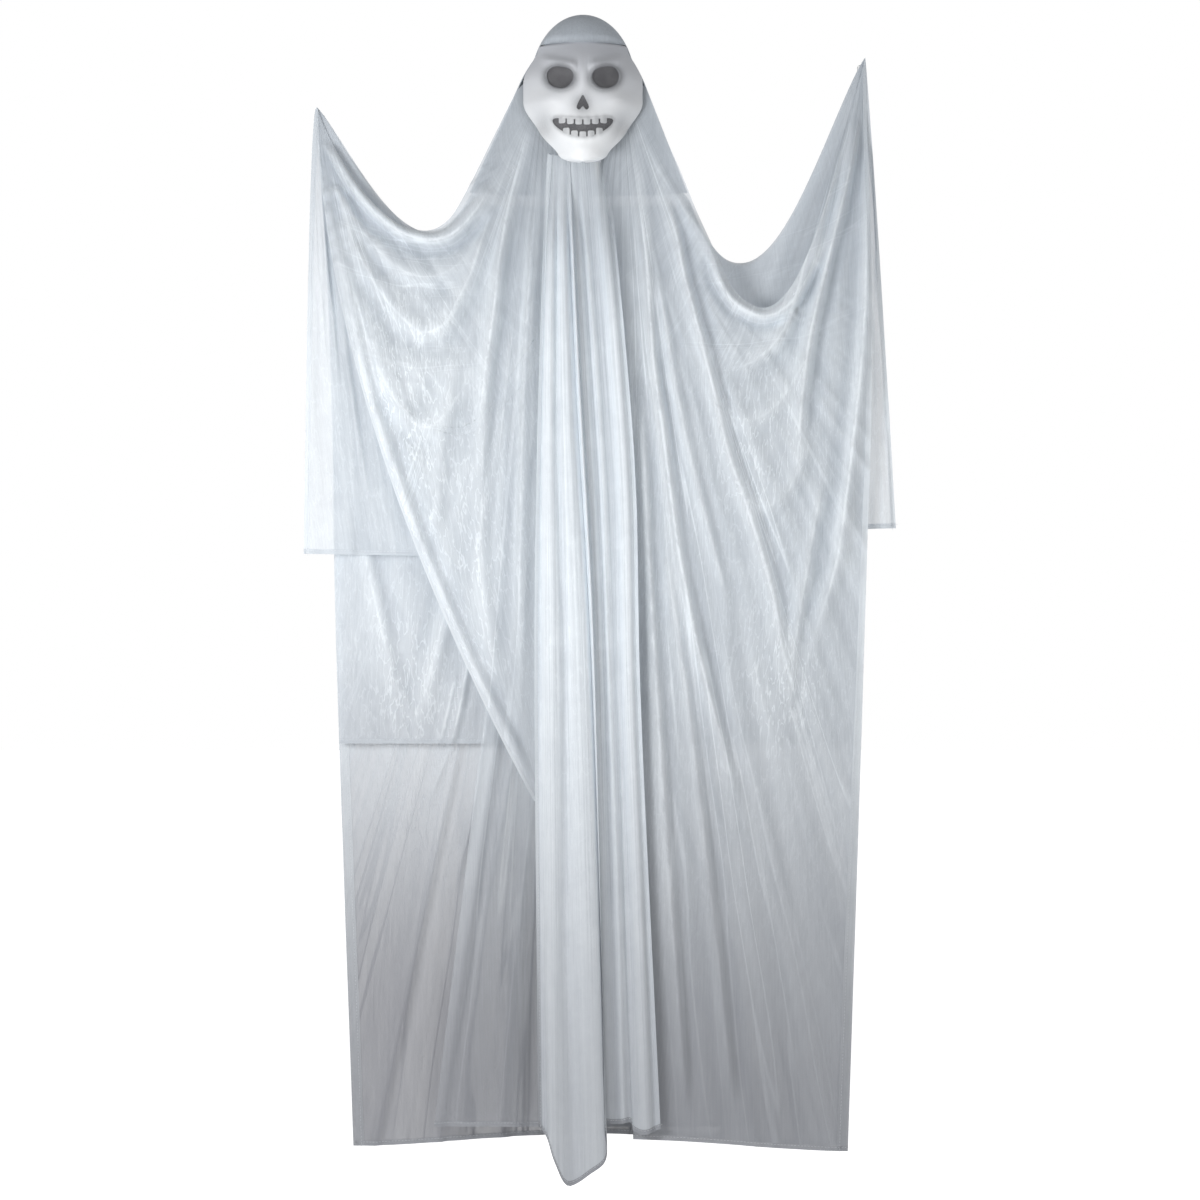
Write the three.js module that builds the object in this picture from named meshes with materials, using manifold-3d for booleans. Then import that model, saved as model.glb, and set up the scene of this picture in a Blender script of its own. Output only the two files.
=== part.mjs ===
// A hanging ghost decoration: a skull-like ghost mask on a foam head, under a hood, with long gauze
// robes that hang from the head and from two raised hands.
// Millimetres, +X to the viewer's right, -Y towards the viewer, +Z up. Inside the model the crown of the
// hood is at z = 0; the finished group is moved so that its origin is the ring that it hangs by.

import * as THREE from 'three';
import { mergeVertices } from 'three/addons/utils/BufferGeometryUtils.js';
import Module from 'manifold-3d';

const wasm = await Module();
wasm.setup();

// Clearances
const FIT = 0.3;                       // between hard pieces that seat on each other
const CLOTH_FIT = 0.5;                 // between cloths that are gathered on each other

// Head, hood and mask
const HEAD_WIDTH = 174;
const HEAD_HEIGHT = 236;
const HEAD_FRONT = 60;                 // depth of the foam in front of its widest section
const HEAD_BACK = 86;
const NECK_RADIUS = 29;
const NECK_LENGTH = 58;
const BAND_THICKNESS = 3;
const BAND_HEIGHT = 28;
const BAND_SWELL = 0.8;                // how far the band stands out at its middle
const HOOD_WIDTH = 188;
const HOOD_HEIGHT = 250;               // of the egg that the hood is drawn over
const HOOD_FRONT = 86;
const HOOD_BACK = 93;
const HOOD_FLARE_TOP = 80;             // below the crown, where the cloth leaves the head
const HOOD_HEM = 320;
const HOOD_HEM_WIDTH = 400;
const HOOD_LEAN = -8;                  // how far the hem's middle lies to the right of the head
const HOOD_FOLDS = 16;                 // small folds round the hood's skirt
const HOOD_FOLD_SHARE = 0.04;          // and their depth at the hem, as a share of its width
const HOOD_HEM_BACK = 70;
const HOOD_BROW = 57;                  // below the crown, the hood's edge over the forehead
const FACE_PLANE = 6;                  // how far the hood's sides reach in front of its widest section
const MASK_TOP = 50;
const MASK_CHIN = 272;
const MASK_WALL = 2.2;
const MASK_RIM = 26;                   // depth of the mask's rim at the cheeks
const MASK_CHIN_RIM = 62;              // and at the chin, in front of the gathered cloth
const MASK_WIDTH = 214;
const EYE_X = 41;
const EYE_Z = 122;
const EYE_WIDTH = 48;
const EYE_HEIGHT = 38;
const EYE_TILT = 14;                   // degrees, outer corner up
const NOSE_Z = 168;
const NOSE_WIDTH = 22;
const NOSE_HEIGHT = 26;
const MOUTH_Z = 214;
const MOUTH_WIDTH = 108;
const MOUTH_HEIGHT = 30;
const MOUTH_CURVE = 16;                // how far the mouth's corners stand above its middle
const TOOTH_COUNT = 6;
const TOOTH_WIDTH = 12;
const TOOTH_LENGTH = 9;
const SCREEN_WALL = 0.8;
const PAD_BACK = 12;                   // how far in front of the head's widest section the pads end
const FOREHEAD_PAD_WIDTH = 60;
const FOREHEAD_PAD_HEIGHT = 18;
const FOREHEAD_PAD_DROP = 12;          // below the hood's edge
const CHEEK_PAD_WIDTH = 16;
const CHEEK_PAD_HEIGHT = 28;
const CHEEK_PAD_Z = 174;
const CHEEK_PAD_IN = 15;               // from the head's widest place in to a pad's middle

// Hanger on the back of the head
const BOSS_RADIUS = 25;
const BOSS_FACE = 88;                  // depth of the boss's flat face
const BOSS_Z = 80;
const PLATE_WIDTH = 22;
const PLATE_HEIGHT = 40;
const PLATE_WALL = 2;
const RING_WIRE = 3.4;
const RING_WIDTH = 30;
const RING_HEIGHT = 36;
const SCREW_RADIUS = 1.6;
const SCREW_HEAD_RADIUS = 3.6;
const SCREW_HEAD_HEIGHT = 2;
const SCREW_LENGTH = 14;
const SCREW_SPACING = 18;
const PIN_CLEARANCE = 0.4;

// Small rings behind the two hands
const TAB_WIDTH = 8;
const TAB_LENGTH = 15;
const TAB_WALL = 2.4;
const HAND_WIRE = 1.8;
const HAND_RING_WIDTH = 11;
const HAND_RING_HEIGHT = 12;
const HAND_RING_DROP = 25;             // below the point of the hand
const HAND_RING_IN = 8;                // and in from it

// Cloth: places are [x, z] with z measured up from the crown
const CLOTH = 1.2;
const HAND_LEFT = [-479, -166];
const HAND_RIGHT = [508, -77];
const SHOULDER_LEFT = [-193, -299];
const SHOULDER_RIGHT = [193, -331];
// Low points of the swags, and how sharply each bends towards the hand and towards the shoulder
const BACK_SWAG_LEFT = { low: [-272, -389], bend: 1.15, shoulderBend: 1.8 };
const BACK_SWAG_RIGHT = { low: [285, -443], bend: 1.2, shoulderBend: 2.2 };
const FRONT_SWAG_LEFT = { low: [-285, -391], bend: 0.83 };
const FRONT_SWAG_RIGHT = { low: [325, -529], bend: 1 };
// A cape's inner edge, from where it leaves the mask's side, along the jaw, to the neck
const JAW = [[98, -120], [97, -152], [88, -190], [58, -232], [39, -258], [35, -292]];
// Its top edge between the swag and the mask's side, just inside the hood's outline
const RISE_LEFT = [[-252, -380], [-226, -351], [-190, -282], [-153, -206], [-118, -138]];
const RISE_RIGHT = [
  [276, -503], [244, -443], [222, -396], [200, -346], [176, -286], [146, -216], [115, -138],
];
const NAPE = -182;                     // top of the back robe, behind the head
const ROBE_HEM = -2041;
const ROBE_HEM_LEFT = -416;
const ROBE_HEM_RIGHT = 475;
const ROBE_SIDE_LEFT = [[-455, -650], [-448, -1100]];
const ROBE_SIDE_RIGHT = [[518, -600], [507, -1053]];
const HEM_RISE = 22;                   // how much the hem rises towards its middle
const INNER_HEM = -1312;
const INNER_TOP = -336;
const FRONT_ROBE_HEM = -2000;
const FRONT_ROBE_HEM_LEFT = -268;
const FRONT_ROBE_HEM_RIGHT = 319;
const FRONT_ROBE_NECK = 58;
const FRONT_ROBE_LAP = 8;              // how far its top laps over the end of the neck stub
const CAPE_POINT = [-88, -1413];       // low end of the left cape's slanting hem
const CAPE_HEM_CURVE = 1.72;           // how that hem bends on its way down from the hand
const CAPE_POINT_WIDTH = 28;
const CAPE_HEM_INNER = 90;
const SLEEVE_LEFT_HEM = -970;
const SLEEVE_LEFT_OUT = -502;
const SLEEVE_LEFT_IN = -250;
const SLEEVE_LEFT_BOW = 0.42;          // under 1, the outer edge bows outward
const SLEEVE_RIGHT_HEM = -924;
const SLEEVE_RIGHT_OUT = 563;
const SLEEVE_RIGHT_IN = 400;
const SLEEVE_RIGHT_BOW = 0.9;
const PANEL_TOP = -256;
const PANEL_LEFT_SIDE = [[-66, -300], [-82, -800], [-86, -1250], [-79, -1990]];
const PANEL_MIDDLE = [[-22, -300], [-6, -640], [20, -1150], [40, -1988]];
const PANEL_MIDDLE_BACK = [[-30, -300], [-14, -640], [12, -1150], [32, -1986]];
const PANEL_RIGHT_SIDE = [[48, -300], [92, -800], [104, -1250], [139, -1998]];
// Hems between the sides of the two middle panels: the long tail, and the step in the other one
const TAIL_HEM = [[-64, -2012], [-50, -2055], [-26, -2097], [14, -2075], [42, -2048]];
const SIDE_HEM = [[60, -1990], [85, -1987], [91, -2002], [112, -2008]];

// Cloth depths: where each layer hangs, and how far its folds stand from there
const PINCH_FLAT = 75;                 // the layers lie flat on each other this far from a hand's point
const PINCH_REACH = 330;               // and are fully apart this far from it
const TIP_FRONT = -3;
const LAYERS = {
  cape: { order: 0, depth: -31, forward: 24, back: 11 },
  sleeve: { order: 1, depth: -6, forward: 7, back: 8 },
  inner: { order: 2, depth: 18, forward: 9, back: 11 },
  back: { order: 3, depth: 46, forward: 11, back: 16 },
  panelRight: { depth: -57, forward: 8, back: 7 },
  panelLeft: { depth: -80, forward: 10, back: 10 },
  frontRobe: { depth: -6, forward: 7, back: 7 },
};
const BEHIND_PANELS = 11;              // how far a cape's folds may stand forward behind the panels
const FREE_LEFT = [95, 170];           // out from the middle, the folds gain their full height here
const FREE_RIGHT = [150, 225];
const SHOULDER_DEPTH = -14;            // a cape's depth where it passes between hood and mask
const ROBE_REST = 2.2;                 // the back robe's stand-off from the hood's plain curve
const ROBE_FALL = 260;                 // length below the hood over which it comes back to its own depth
const ROBE_SOFTNESS = 10;              // how gently it leaves the hood
const NECK_REACH = 190;                // the layers are fully apart this far below the neck

// Main folds: each runs along a line, with its width at both ends and its height. A valley runs beside
// it, on the right of the line where lean is over 0, at a share of its width and height.
const VALLEY_GAP = 1.5;
const VALLEY_SHARE = 0.7;
const NECK = [0, -230];
const LEFT_CAPE_FOLDS = [
  { line: [[-458, -233], [-411, -314], [-343, -383], [-275, -408], [-213, -380], [-144, -284]],
    widths: [12, 19], rise: 24, lean: -0.9 },
  { line: [[-448, -290], [-415, -400], [-370, -490], [-300, -568], [-235, -545], [-195, -480]],
    widths: [16, 28], rise: 14, lean: -0.7 },
  { line: [[-445, -330], [-410, -500], [-365, -640], [-290, -738], [-225, -690], [-185, -600]],
    widths: [18, 30], rise: 13, lean: -0.7 },
  { line: [[-100, -200], [-127, -318], [-151, -456], [-168, -594], [-192, -760]],
    widths: [17, 22], rise: 20, lean: 0.9 },
  { line: [[-120, -225], [-165, -353], [-199, -463], [-270, -620]], widths: [16, 24], rise: 13, lean: 0.8 },
  { line: [[-461, -263], [-441, -415], [-384, -665], [-302, -914], [-198, -1163], [-88, -1390]],
    widths: [12, 17], rise: 11, lean: 0.8 },
];
const RIGHT_CAPE_FOLDS = [
  { line: [[228, -430], [275, -524], [325, -545], [372, -520], [440, -370]],
    widths: [12, 16], rise: 18, lean: -0.8 },
  { line: [[470, -230], [396, -455], [345, -590], [250, -640]], widths: [16, 24], rise: 17, lean: 0.9 },
  { line: [[497, -160], [455, -380], [407, -580], [380, -860]], widths: [14, 21], rise: 19, lean: 0.9 },
  { line: [[507, -190], [503, -566], [455, -980], [384, -1250]], widths: [14, 23], rise: 15, lean: -0.8 },
  { line: [[90, -210], [114, -456], [142, -739], [180, -1014], [214, -1173], [300, -1500]],
    widths: [15, 20], rise: 16, lean: 0.8 },
  { line: [[128, -280], [180, -463], [221, -621], [262, -794], [340, -1042], [369, -1262]],
    widths: [16, 21], rise: 20, lean: 0.8 },
  { line: [[104, -700], [124, -1080], [150, -1500], [200, -2300]], widths: [16, 20], rise: 13, lean: 0.8 },
  { line: [[140, -900], [185, -1220], [235, -1640], [300, -2300]], widths: [16, 22], rise: 12, lean: 0.8 },
];
const INNER_ROBE_FOLDS = [
  { line: [[-452, -560], [-405, -900], [-360, -1120], [-322, -1290]],
    widths: [22, 26], rise: 12, lean: 0.9 },
  { line: [[-200, -900], [-250, -1080], [-300, -1290]], widths: [20, 24], rise: 11, lean: -0.9 },
  { line: [[480, -600], [440, -900], [400, -1120], [371, -1290]], widths: [22, 26], rise: 12, lean: 0.9 },
];

// Fans of folds: how many, their widths at both ends and their height
const BACK_HAND_FAN = { count: 3, widths: [14, 40], rise: 9 };
const BACK_HAND_LEFT = [[-400, -760], [-120, -560]];
const BACK_HAND_RIGHT = [[430, -700], [150, -520]];
const BACK_HEM_FAN = { count: 8, widths: [14, 26], rise: 16 };
const BACK_HEM_IN = 40;                // from the robe's sides in to the first fold
const FRONT_ROBE_FAN = { count: 5, widths: [14, 26], rise: 8 };
const SLEEVE_FAN = { count: 3, widths: [8, 16], rise: 6 };

// Across a panel, from 0 to 1: a pleat's place, width and height
const TAIL_PLEATS = [
  [0.06, 0.06, -7], [0.28, 0.14, 11], [0.64, 0.12, 9], [0.84, 0.07, -9], [0.97, 0.06, 5],
];
const SIDE_PLEATS = [
  [0.12, 0.09, 8], [0.3, 0.07, -5], [0.56, 0.12, -9], [0.8, 0.11, 10], [0.96, 0.05, -5],
];

const FABRIC = { colour: 0xcfd6e2, roughness: 0.85, metalness: 0 };
const VINYL = { colour: 0xe4e8ee, roughness: 0.55, metalness: 0 };
const MESH = { colour: 0x6f7076, roughness: 0.8, metalness: 0 };
const FOAM = { colour: 0xd9d6cd, roughness: 0.95, metalness: 0 };
const STEEL = { colour: 0xb9bcc0, roughness: 0.3, metalness: 1 };

// Solids

function weld(geometry) {
  geometry.deleteAttribute('normal');
  geometry.deleteAttribute('uv');
  return mergeVertices(geometry, 1e-4);
}

function toSolid(geometry) {
  const welded = weld(geometry);
  const vertProperties = new Float32Array(welded.attributes.position.array);
  const triVerts = new Uint32Array(welded.index.array);
  return new wasm.Manifold(new wasm.Mesh({ numProp: 3, vertProperties, triVerts }));
}

function toGeometry(solid) {
  const mesh = solid.getMesh();
  const geometry = new THREE.BufferGeometry();
  geometry.setAttribute('position', new THREE.BufferAttribute(new Float32Array(mesh.vertProperties), 3));
  geometry.setIndex(new THREE.BufferAttribute(new Uint32Array(mesh.triVerts), 1));
  return geometry;
}

function at(geometry, x, y, z) {
  return geometry.translate(x, y, z);
}

function box(width, depth, height, x, y, z) {
  return toSolid(at(new THREE.BoxGeometry(width, depth, height), x, y, z));
}

function rodX(radius, length, x, y, z, sides = 20) {
  const rod = new THREE.CylinderGeometry(radius, radius, length, sides);
  return toSolid(at(rod.rotateZ(Math.PI / 2), x, y, z));
}

function rodY(radius, length, x, y, z, sides = 24) {
  return toSolid(at(new THREE.CylinderGeometry(radius, radius, length, sides), x, y, z));
}

// A wall between two grids of points: faceAt and backAt give a point for each column and row
function wallGeometry(columns, rows, faceAt, backAt) {
  const across = columns + 1;
  const layer = across * (rows + 1);
  const position = [];
  for (const pointAt of [faceAt, backAt]) {
    for (let row = 0; row <= rows; row++) {
      for (let column = 0; column <= columns; column++) {
        position.push(...pointAt(column, row));
      }
    }
  }
  const index = [];
  const quad = (a, b, c, d) => index.push(a, b, c, a, c, d);
  for (let row = 0; row < rows; row++) {
    for (let column = 0; column < columns; column++) {
      const a = row * across + column;
      const b = a + 1;
      const c = b + across;
      const d = a + across;
      quad(a, d, c, b);
      quad(a + layer, b + layer, c + layer, d + layer);
      if (row === 0) quad(a, b, b + layer, a + layer);
      if (row === rows - 1) quad(c, d, d + layer, c + layer);
      if (column === 0) quad(d, a, a + layer, d + layer);
      if (column === columns - 1) quad(b, c, c + layer, b + layer);
    }
  }
  const geometry = new THREE.BufferGeometry();
  geometry.setAttribute('position', new THREE.BufferAttribute(new Float32Array(position), 3));
  geometry.setIndex(index);
  return geometry;
}

// A closed loop of wire whose centre line lies in a plane square to Y
function wireLoop(points, wire, sides) {
  const position = [];
  const index = [];
  const count = points.length;
  for (let i = 0; i < count; i++) {
    const before = points[(i + count - 1) % count];
    const after = points[(i + 1) % count];
    const along = new THREE.Vector2(after[0] - before[0], after[2] - before[2]).normalize();
    for (let k = 0; k < sides; k++) {
      const turn = (2 * Math.PI * k) / sides;
      const out = (wire / 2) * Math.cos(turn);
      position.push(points[i][0] + along.y * out, points[i][1] + (wire / 2) * Math.sin(turn),
        points[i][2] - along.x * out);
    }
  }
  for (let i = 0; i < count; i++) {
    for (let k = 0; k < sides; k++) {
      const next = (k + 1) % sides;
      const a = i * sides + k;
      const b = i * sides + next;
      const c = ((i + 1) % count) * sides + next;
      const d = ((i + 1) % count) * sides + k;
      index.push(a, b, c, a, c, d);
    }
  }
  const geometry = new THREE.BufferGeometry();
  geometry.setAttribute('position', new THREE.BufferAttribute(new Float32Array(position), 3));
  geometry.setIndex(index);
  return geometry;
}

// The centre line of a D-shaped ring: a straight bar below and a round arch above it
function ringLine(width, height, x, y, z) {
  const corner = width / 6;
  const points = [];
  const arch = 12;
  for (let i = 0; i <= arch; i++) {
    const turn = (Math.PI * i) / arch;
    const up = (width / 2) * Math.sin(turn);
    points.push([x + (width / 2) * Math.cos(turn), y, z + height - width / 2 + up]);
  }
  points.push([x - width / 2, y, z + corner], [x - width / 2 + corner * 0.3, y, z + corner * 0.3]);
  points.push([x - width / 2 + corner, y, z], [x + width / 2 - corner, y, z]);
  points.push([x + width / 2 - corner * 0.3, y, z + corner * 0.3], [x + width / 2, y, z + corner]);
  return points;
}

// Head and hood

function ease(value, from, to) {
  const t = THREE.MathUtils.clamp((value - from) / (to - from), 0, 1);
  return t * t * (3 - 2 * t);
}

// Half width of an egg of the given size at a depth below its top
function eggRadius(below, size, height) {
  const offset = (below - height / 2) / (height / 2);
  return size * Math.sqrt(Math.max(0, 1 - offset * offset));
}

// Outer half width of the hood, and its reach to the front and to the back, at a depth below the crown
function hoodSection(below) {
  const flare = Math.max(0, (below - HOOD_FLARE_TOP) / (HOOD_HEM - HOOD_FLARE_TOP));
  const egg = Math.min(below, HOOD_HEIGHT / 2);
  const round = eggRadius(egg, 1, HOOD_HEIGHT);
  const width = (HOOD_WIDTH / 2) * round + ((HOOD_HEM_WIDTH - HOOD_WIDTH) / 2) * flare;
  const back = HOOD_BACK * round + (HOOD_HEM_BACK - HOOD_BACK) * ease(below, HOOD_HEIGHT / 2, HOOD_HEM);
  return { width, front: HOOD_FRONT * round, back, middle: HOOD_LEAN * flare };
}

function hoodFold(turn, below) {
  const depth = HOOD_FOLD_SHARE * ease(below, HOOD_FLARE_TOP, HOOD_HEM);
  return 1 - depth * (1 - Math.cos(turn * HOOD_FOLDS));
}

// The hood is turned as a shell of unit radius, and each point is then moved out to its own section
function hoodGeometry() {
  const rows = [0.4, 8, 26, 56, 92, 130, 172, 220, 270, HOOD_HEM];
  const slantedWall = CLOTH * 1.4;
  const profile = [new THREE.Vector2(0, 0)];
  rows.forEach((below) => profile.push(new THREE.Vector2(1, -below)));
  [...rows].reverse().forEach((below) => profile.push(new THREE.Vector2(0.5, -below)));
  profile.push(new THREE.Vector2(0, -CLOTH));
  const turned = new THREE.LatheGeometry(profile.reverse(), 32).rotateX(Math.PI / 2);
  const position = turned.attributes.position;
  for (let i = 0; i < position.count; i++) {
    const x = position.getX(i);
    const y = position.getY(i);
    const reach = Math.hypot(x, y);
    if (reach < 1e-6) continue;
    const below = -position.getZ(i);
    const inside = reach < 0.75;
    const turn = Math.atan2(y, x);
    const section = hoodSection(below);
    const fold = hoodFold(turn, below);
    const wall = inside ? slantedWall : 0;
    const width = Math.max(section.width * fold - wall, 0.8);
    const depth = Math.max((y < 0 ? section.front : section.back) * fold - wall, 0.8);
    const drop = inside ? CLOTH * (1 - ease(below, 0, 60)) : 0;
    position.setXYZ(i, section.middle + width * Math.cos(turn), depth * Math.sin(turn), -below - drop);
  }
  return turned;
}

function makeHood() {
  const face = box(HOOD_HEM_WIDTH * 2, 400, 600, 0, -200 - FACE_PLANE, -300 - HOOD_BROW);
  const boss = rodY(BOSS_RADIUS + CLOTH_FIT, 60, 0, BOSS_FACE, -BOSS_Z, 32);
  return toGeometry(toSolid(hoodGeometry()).subtract(face).subtract(boss));
}

function headTop() {
  return CLOTH * 2 + FIT;
}

function makeHeadForm() {
  const steps = 16;
  const profile = [new THREE.Vector2(0, -headTop())];
  const bottom = headTop() + HEAD_HEIGHT;
  for (let i = 1; i < steps; i++) {
    const below = (HEAD_HEIGHT * (1 - Math.cos((Math.PI * i) / steps))) / 2;
    const radius = eggRadius(below, HEAD_WIDTH / 2, HEAD_HEIGHT);
    if (below > HEAD_HEIGHT / 2 && radius < NECK_RADIUS * 1.15) break;
    profile.push(new THREE.Vector2(radius, -headTop() - below));
  }
  profile.push(new THREE.Vector2(NECK_RADIUS, -bottom));
  profile.push(new THREE.Vector2(NECK_RADIUS, -bottom - NECK_LENGTH));
  profile.push(new THREE.Vector2(0, -bottom - NECK_LENGTH));
  const turned = new THREE.LatheGeometry(profile.reverse(), 32).rotateX(Math.PI / 2);
  const position = turned.attributes.position;
  for (let i = 0; i < position.count; i++) {
    const y = position.getY(i);
    const inNeck = ease(-position.getZ(i), bottom - 30, bottom);
    const stretch = (y < 0 ? HEAD_FRONT : HEAD_BACK) / (HEAD_WIDTH / 2);
    position.setY(i, y * THREE.MathUtils.lerp(stretch, 1, inNeck));
  }
  const bossLength = BOSS_FACE - HEAD_BACK / 2;
  const boss = rodY(BOSS_RADIUS, bossLength, 0, BOSS_FACE - bossLength / 2, -BOSS_Z, 32);
  let head = toSolid(turned).add(boss);
  for (const z of screwHeights()) {
    const hole = rodY(SCREW_RADIUS + FIT, SCREW_LENGTH * 2, 0, BOSS_FACE, z, 16);
    head = head.subtract(hole);
  }
  return toGeometry(head);
}

function neckTop() {
  return -(headTop() + HEAD_HEIGHT + 8);
}

function makeNeckBand() {
  const inside = NECK_RADIUS + CLOTH_FIT;
  const outside = inside + BAND_THICKNESS;
  const low = neckTop() - BAND_HEIGHT;
  const profile = [[inside, low], [outside, low + 2], [outside + BAND_SWELL, low + BAND_HEIGHT / 2],
    [outside, neckTop() - 2], [inside, neckTop()], [inside, low]];
  return weld(new THREE.LatheGeometry(profile.map(([r, z]) => new THREE.Vector2(r, z)), 32)
    .rotateX(Math.PI / 2));
}

// Mask

function maskHalfWidth(below) {
  const t = (below - MASK_TOP) / (MASK_CHIN - MASK_TOP);
  const brow = 0.56 + 0.44 * Math.sin(Math.min(t / 0.42, 1) * Math.PI / 2);
  const jaw = 1 - 0.3 * ease(t, 0.5, 0.8) - 0.3 * ease(t, 0.74, 0.96);
  const chin = Math.max((t - 0.93) / 0.07, 0);
  return Math.max((MASK_WIDTH / 2) * brow * jaw * Math.sqrt(Math.max(1 - chin * chin, 0)), 10);
}

function bump(x, z, atX, atZ, width, height) {
  return Math.exp(-(((x - atX) / width) ** 2) - (((z - atZ) / height) ** 2));
}

// How far the mask's relief stands out of its plain curve: brows, sockets, cheekbones, muzzle and chin
function maskRelief(x, below) {
  const side = Math.abs(x);
  const socket = bump(side, below, EYE_X, EYE_Z, EYE_WIDTH * 0.5, EYE_HEIGHT * 0.55);
  const slope = Math.tan(THREE.MathUtils.degToRad(EYE_TILT));
  const browLine = EYE_Z - EYE_HEIGHT * 0.72 - (side - EYE_X) * slope;
  const brow = Math.exp(-(((below - browLine) / 9) ** 2)) * ease(side, 4, 22) * (1 - ease(side, 60, 84));
  const cheek = bump(side, below, EYE_X * 1.6, NOSE_Z - 6, 24, 16);
  const bridge = bump(x, below, 0, EYE_Z + 8, 11, 26);
  const nose = bump(x, below, 0, NOSE_Z, NOSE_WIDTH * 0.8, NOSE_HEIGHT * 0.6);
  const muzzle = bump(x, below, 0, MOUTH_Z, MOUTH_WIDTH * 0.42, 26);
  const hollow = bump(side, below, MOUTH_WIDTH * 0.62, MOUTH_Z - 2, 15, 24);
  const chin = bump(x, below, 0, MASK_CHIN - 20, 26, 15);
  return 9 * brow - 8 * socket + 7 * cheek + 5 * bridge - 4 * nose + 6 * muzzle - 6 * hollow + 6 * chin;
}

function maskFront(x, below) {
  const half = maskHalfWidth(below);
  const t = Math.min(Math.abs(x) / half, 1);
  const down = (below - MASK_TOP) / (MASK_CHIN - MASK_TOP);
  const crown = HOOD_FRONT * Math.sqrt(Math.max(0, 1 - ((below - 125) / 125) ** 2));
  const middle = THREE.MathUtils.lerp(crown - 5, 100, ease(down, 0.02, 0.3)) - 14 * ease(down, 0.6, 1);
  const edge = 1 - ease(t, 0.82, 1);
  const rim = THREE.MathUtils.lerp(MASK_RIM, MASK_CHIN_RIM, ease(down, 0.62, 1));
  const relief = maskRelief(x, below) * edge * ease(below, MASK_TOP + 8, MASK_TOP + 30);
  return -(rim + (middle - rim) * (1 - t ** 2.2) + relief);
}

const MASK_COLUMNS = 26;
const MASK_ROWS = 28;

function maskPoint(column, row, back) {
  const below = MASK_TOP + ((MASK_CHIN - MASK_TOP) * row) / MASK_ROWS;
  const spread = (2 * column) / MASK_COLUMNS - 1;
  const x = maskHalfWidth(below) * Math.sign(spread) * Math.abs(spread) ** 0.92;
  return [x, maskFront(x, below) + back, -below];
}

function roundedPoints(points, steps = 28) {
  const curve = new THREE.CatmullRomCurve3(points.map(([x, z]) => new THREE.Vector3(x, z, 0)), true);
  return curve.getSpacedPoints(steps).slice(0, steps).map((p) => new THREE.Vector2(p.x, p.y));
}

// A cutter for an opening: the outline in X and Z, run right through the mask along Y
function cutter(outline) {
  const depth = 200;
  const shape = new THREE.Shape(outline);
  const block = new THREE.ExtrudeGeometry(shape, { depth, bevelEnabled: false, steps: 1 });
  return toSolid(block.rotateX(Math.PI / 2));
}

function eyeOutline(side) {
  const tilt = THREE.MathUtils.degToRad(EYE_TILT) * side;
  const w = EYE_WIDTH / 2;
  const h = EYE_HEIGHT / 2;
  const points = [[-w, 0.1 * h], [-0.72 * w, 0.78 * h], [0, 0.98 * h], [0.76 * w, 0.8 * h], [w, 0.05 * h],
    [0.66 * w, -0.76 * h], [0, -h], [-0.66 * w, -0.74 * h]];
  return roundedPoints(points.map(([x, z]) => [
    side * EYE_X + x * Math.cos(tilt) - z * Math.sin(tilt),
    -EYE_Z + x * Math.sin(tilt) + z * Math.cos(tilt),
  ]));
}

function noseOutline() {
  const w = NOSE_WIDTH / 2;
  const h = NOSE_HEIGHT / 2;
  const points = [[0, h], [0.45 * w, 0.45 * h], [w, -0.62 * h], [0.55 * w, -h], [0, -0.55 * h],
    [-0.55 * w, -h], [-w, -0.62 * h], [-0.45 * w, 0.45 * h]];
  return roundedPoints(points.map(([x, z]) => [x, z - NOSE_Z]), 24);
}

function mouthLine(x) {
  return -MOUTH_Z + MOUTH_CURVE * (x / (MOUTH_WIDTH / 2)) ** 2;
}

function mouthOutline() {
  const half = MOUTH_WIDTH / 2;
  const steps = 12;
  const open = (x) => (MOUTH_HEIGHT / 2) * Math.sqrt(Math.max(0, 1 - (x / half) ** 2));
  const points = [];
  for (let i = 0; i <= steps; i++) {
    const x = -half * Math.cos((Math.PI * i) / steps);
    points.push(new THREE.Vector2(x, mouthLine(x) - open(x)));
  }
  for (let i = 1; i < steps; i++) {
    const x = half * Math.cos((Math.PI * i) / steps);
    points.push(new THREE.Vector2(x, mouthLine(x) + open(x)));
  }
  return points;
}

// Blunt teeth are left standing in the mouth opening, from its upper and its lower edge
function toothOutlines() {
  const pitch = (MOUTH_WIDTH * 0.82) / TOOTH_COUNT;
  const outlines = [];
  for (const edge of [1, -1]) {
    const count = edge > 0 ? TOOTH_COUNT : TOOTH_COUNT - 1;
    for (let i = 0; i < count; i++) {
      const x = (i - (count - 1) / 2) * pitch;
      const open = (MOUTH_HEIGHT / 2) * Math.sqrt(Math.max(0, 1 - (x / (MOUTH_WIDTH / 2)) ** 2));
      const root = mouthLine(x) + edge * (open + 4);
      const tip = mouthLine(x) + edge * Math.max(open - TOOTH_LENGTH, 2.2);
      const half = TOOTH_WIDTH / 2;
      const points = [[x - half, root], [x - half, tip + edge * 3], [x - half * 0.55, tip],
        [x + half * 0.55, tip], [x + half, tip + edge * 3], [x + half, root]];
      const turned = edge > 0 ? points : points.reverse();
      outlines.push(turned.map(([px, pz]) => new THREE.Vector2(px, pz)));
    }
  }
  return outlines;
}

function makeMask() {
  const geometry = wallGeometry(MASK_COLUMNS, MASK_ROWS,
    (column, row) => maskPoint(column, row, 0), (column, row) => maskPoint(column, row, MASK_WALL));
  let mouth = cutter(mouthOutline());
  for (const outline of toothOutlines()) mouth = mouth.subtract(cutter(outline));
  let mask = toSolid(geometry);
  for (const opening of [cutter(eyeOutline(-1)), cutter(eyeOutline(1)), cutter(noseOutline()), mouth]) {
    mask = mask.subtract(opening);
  }
  return toGeometry(mask);
}

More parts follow.
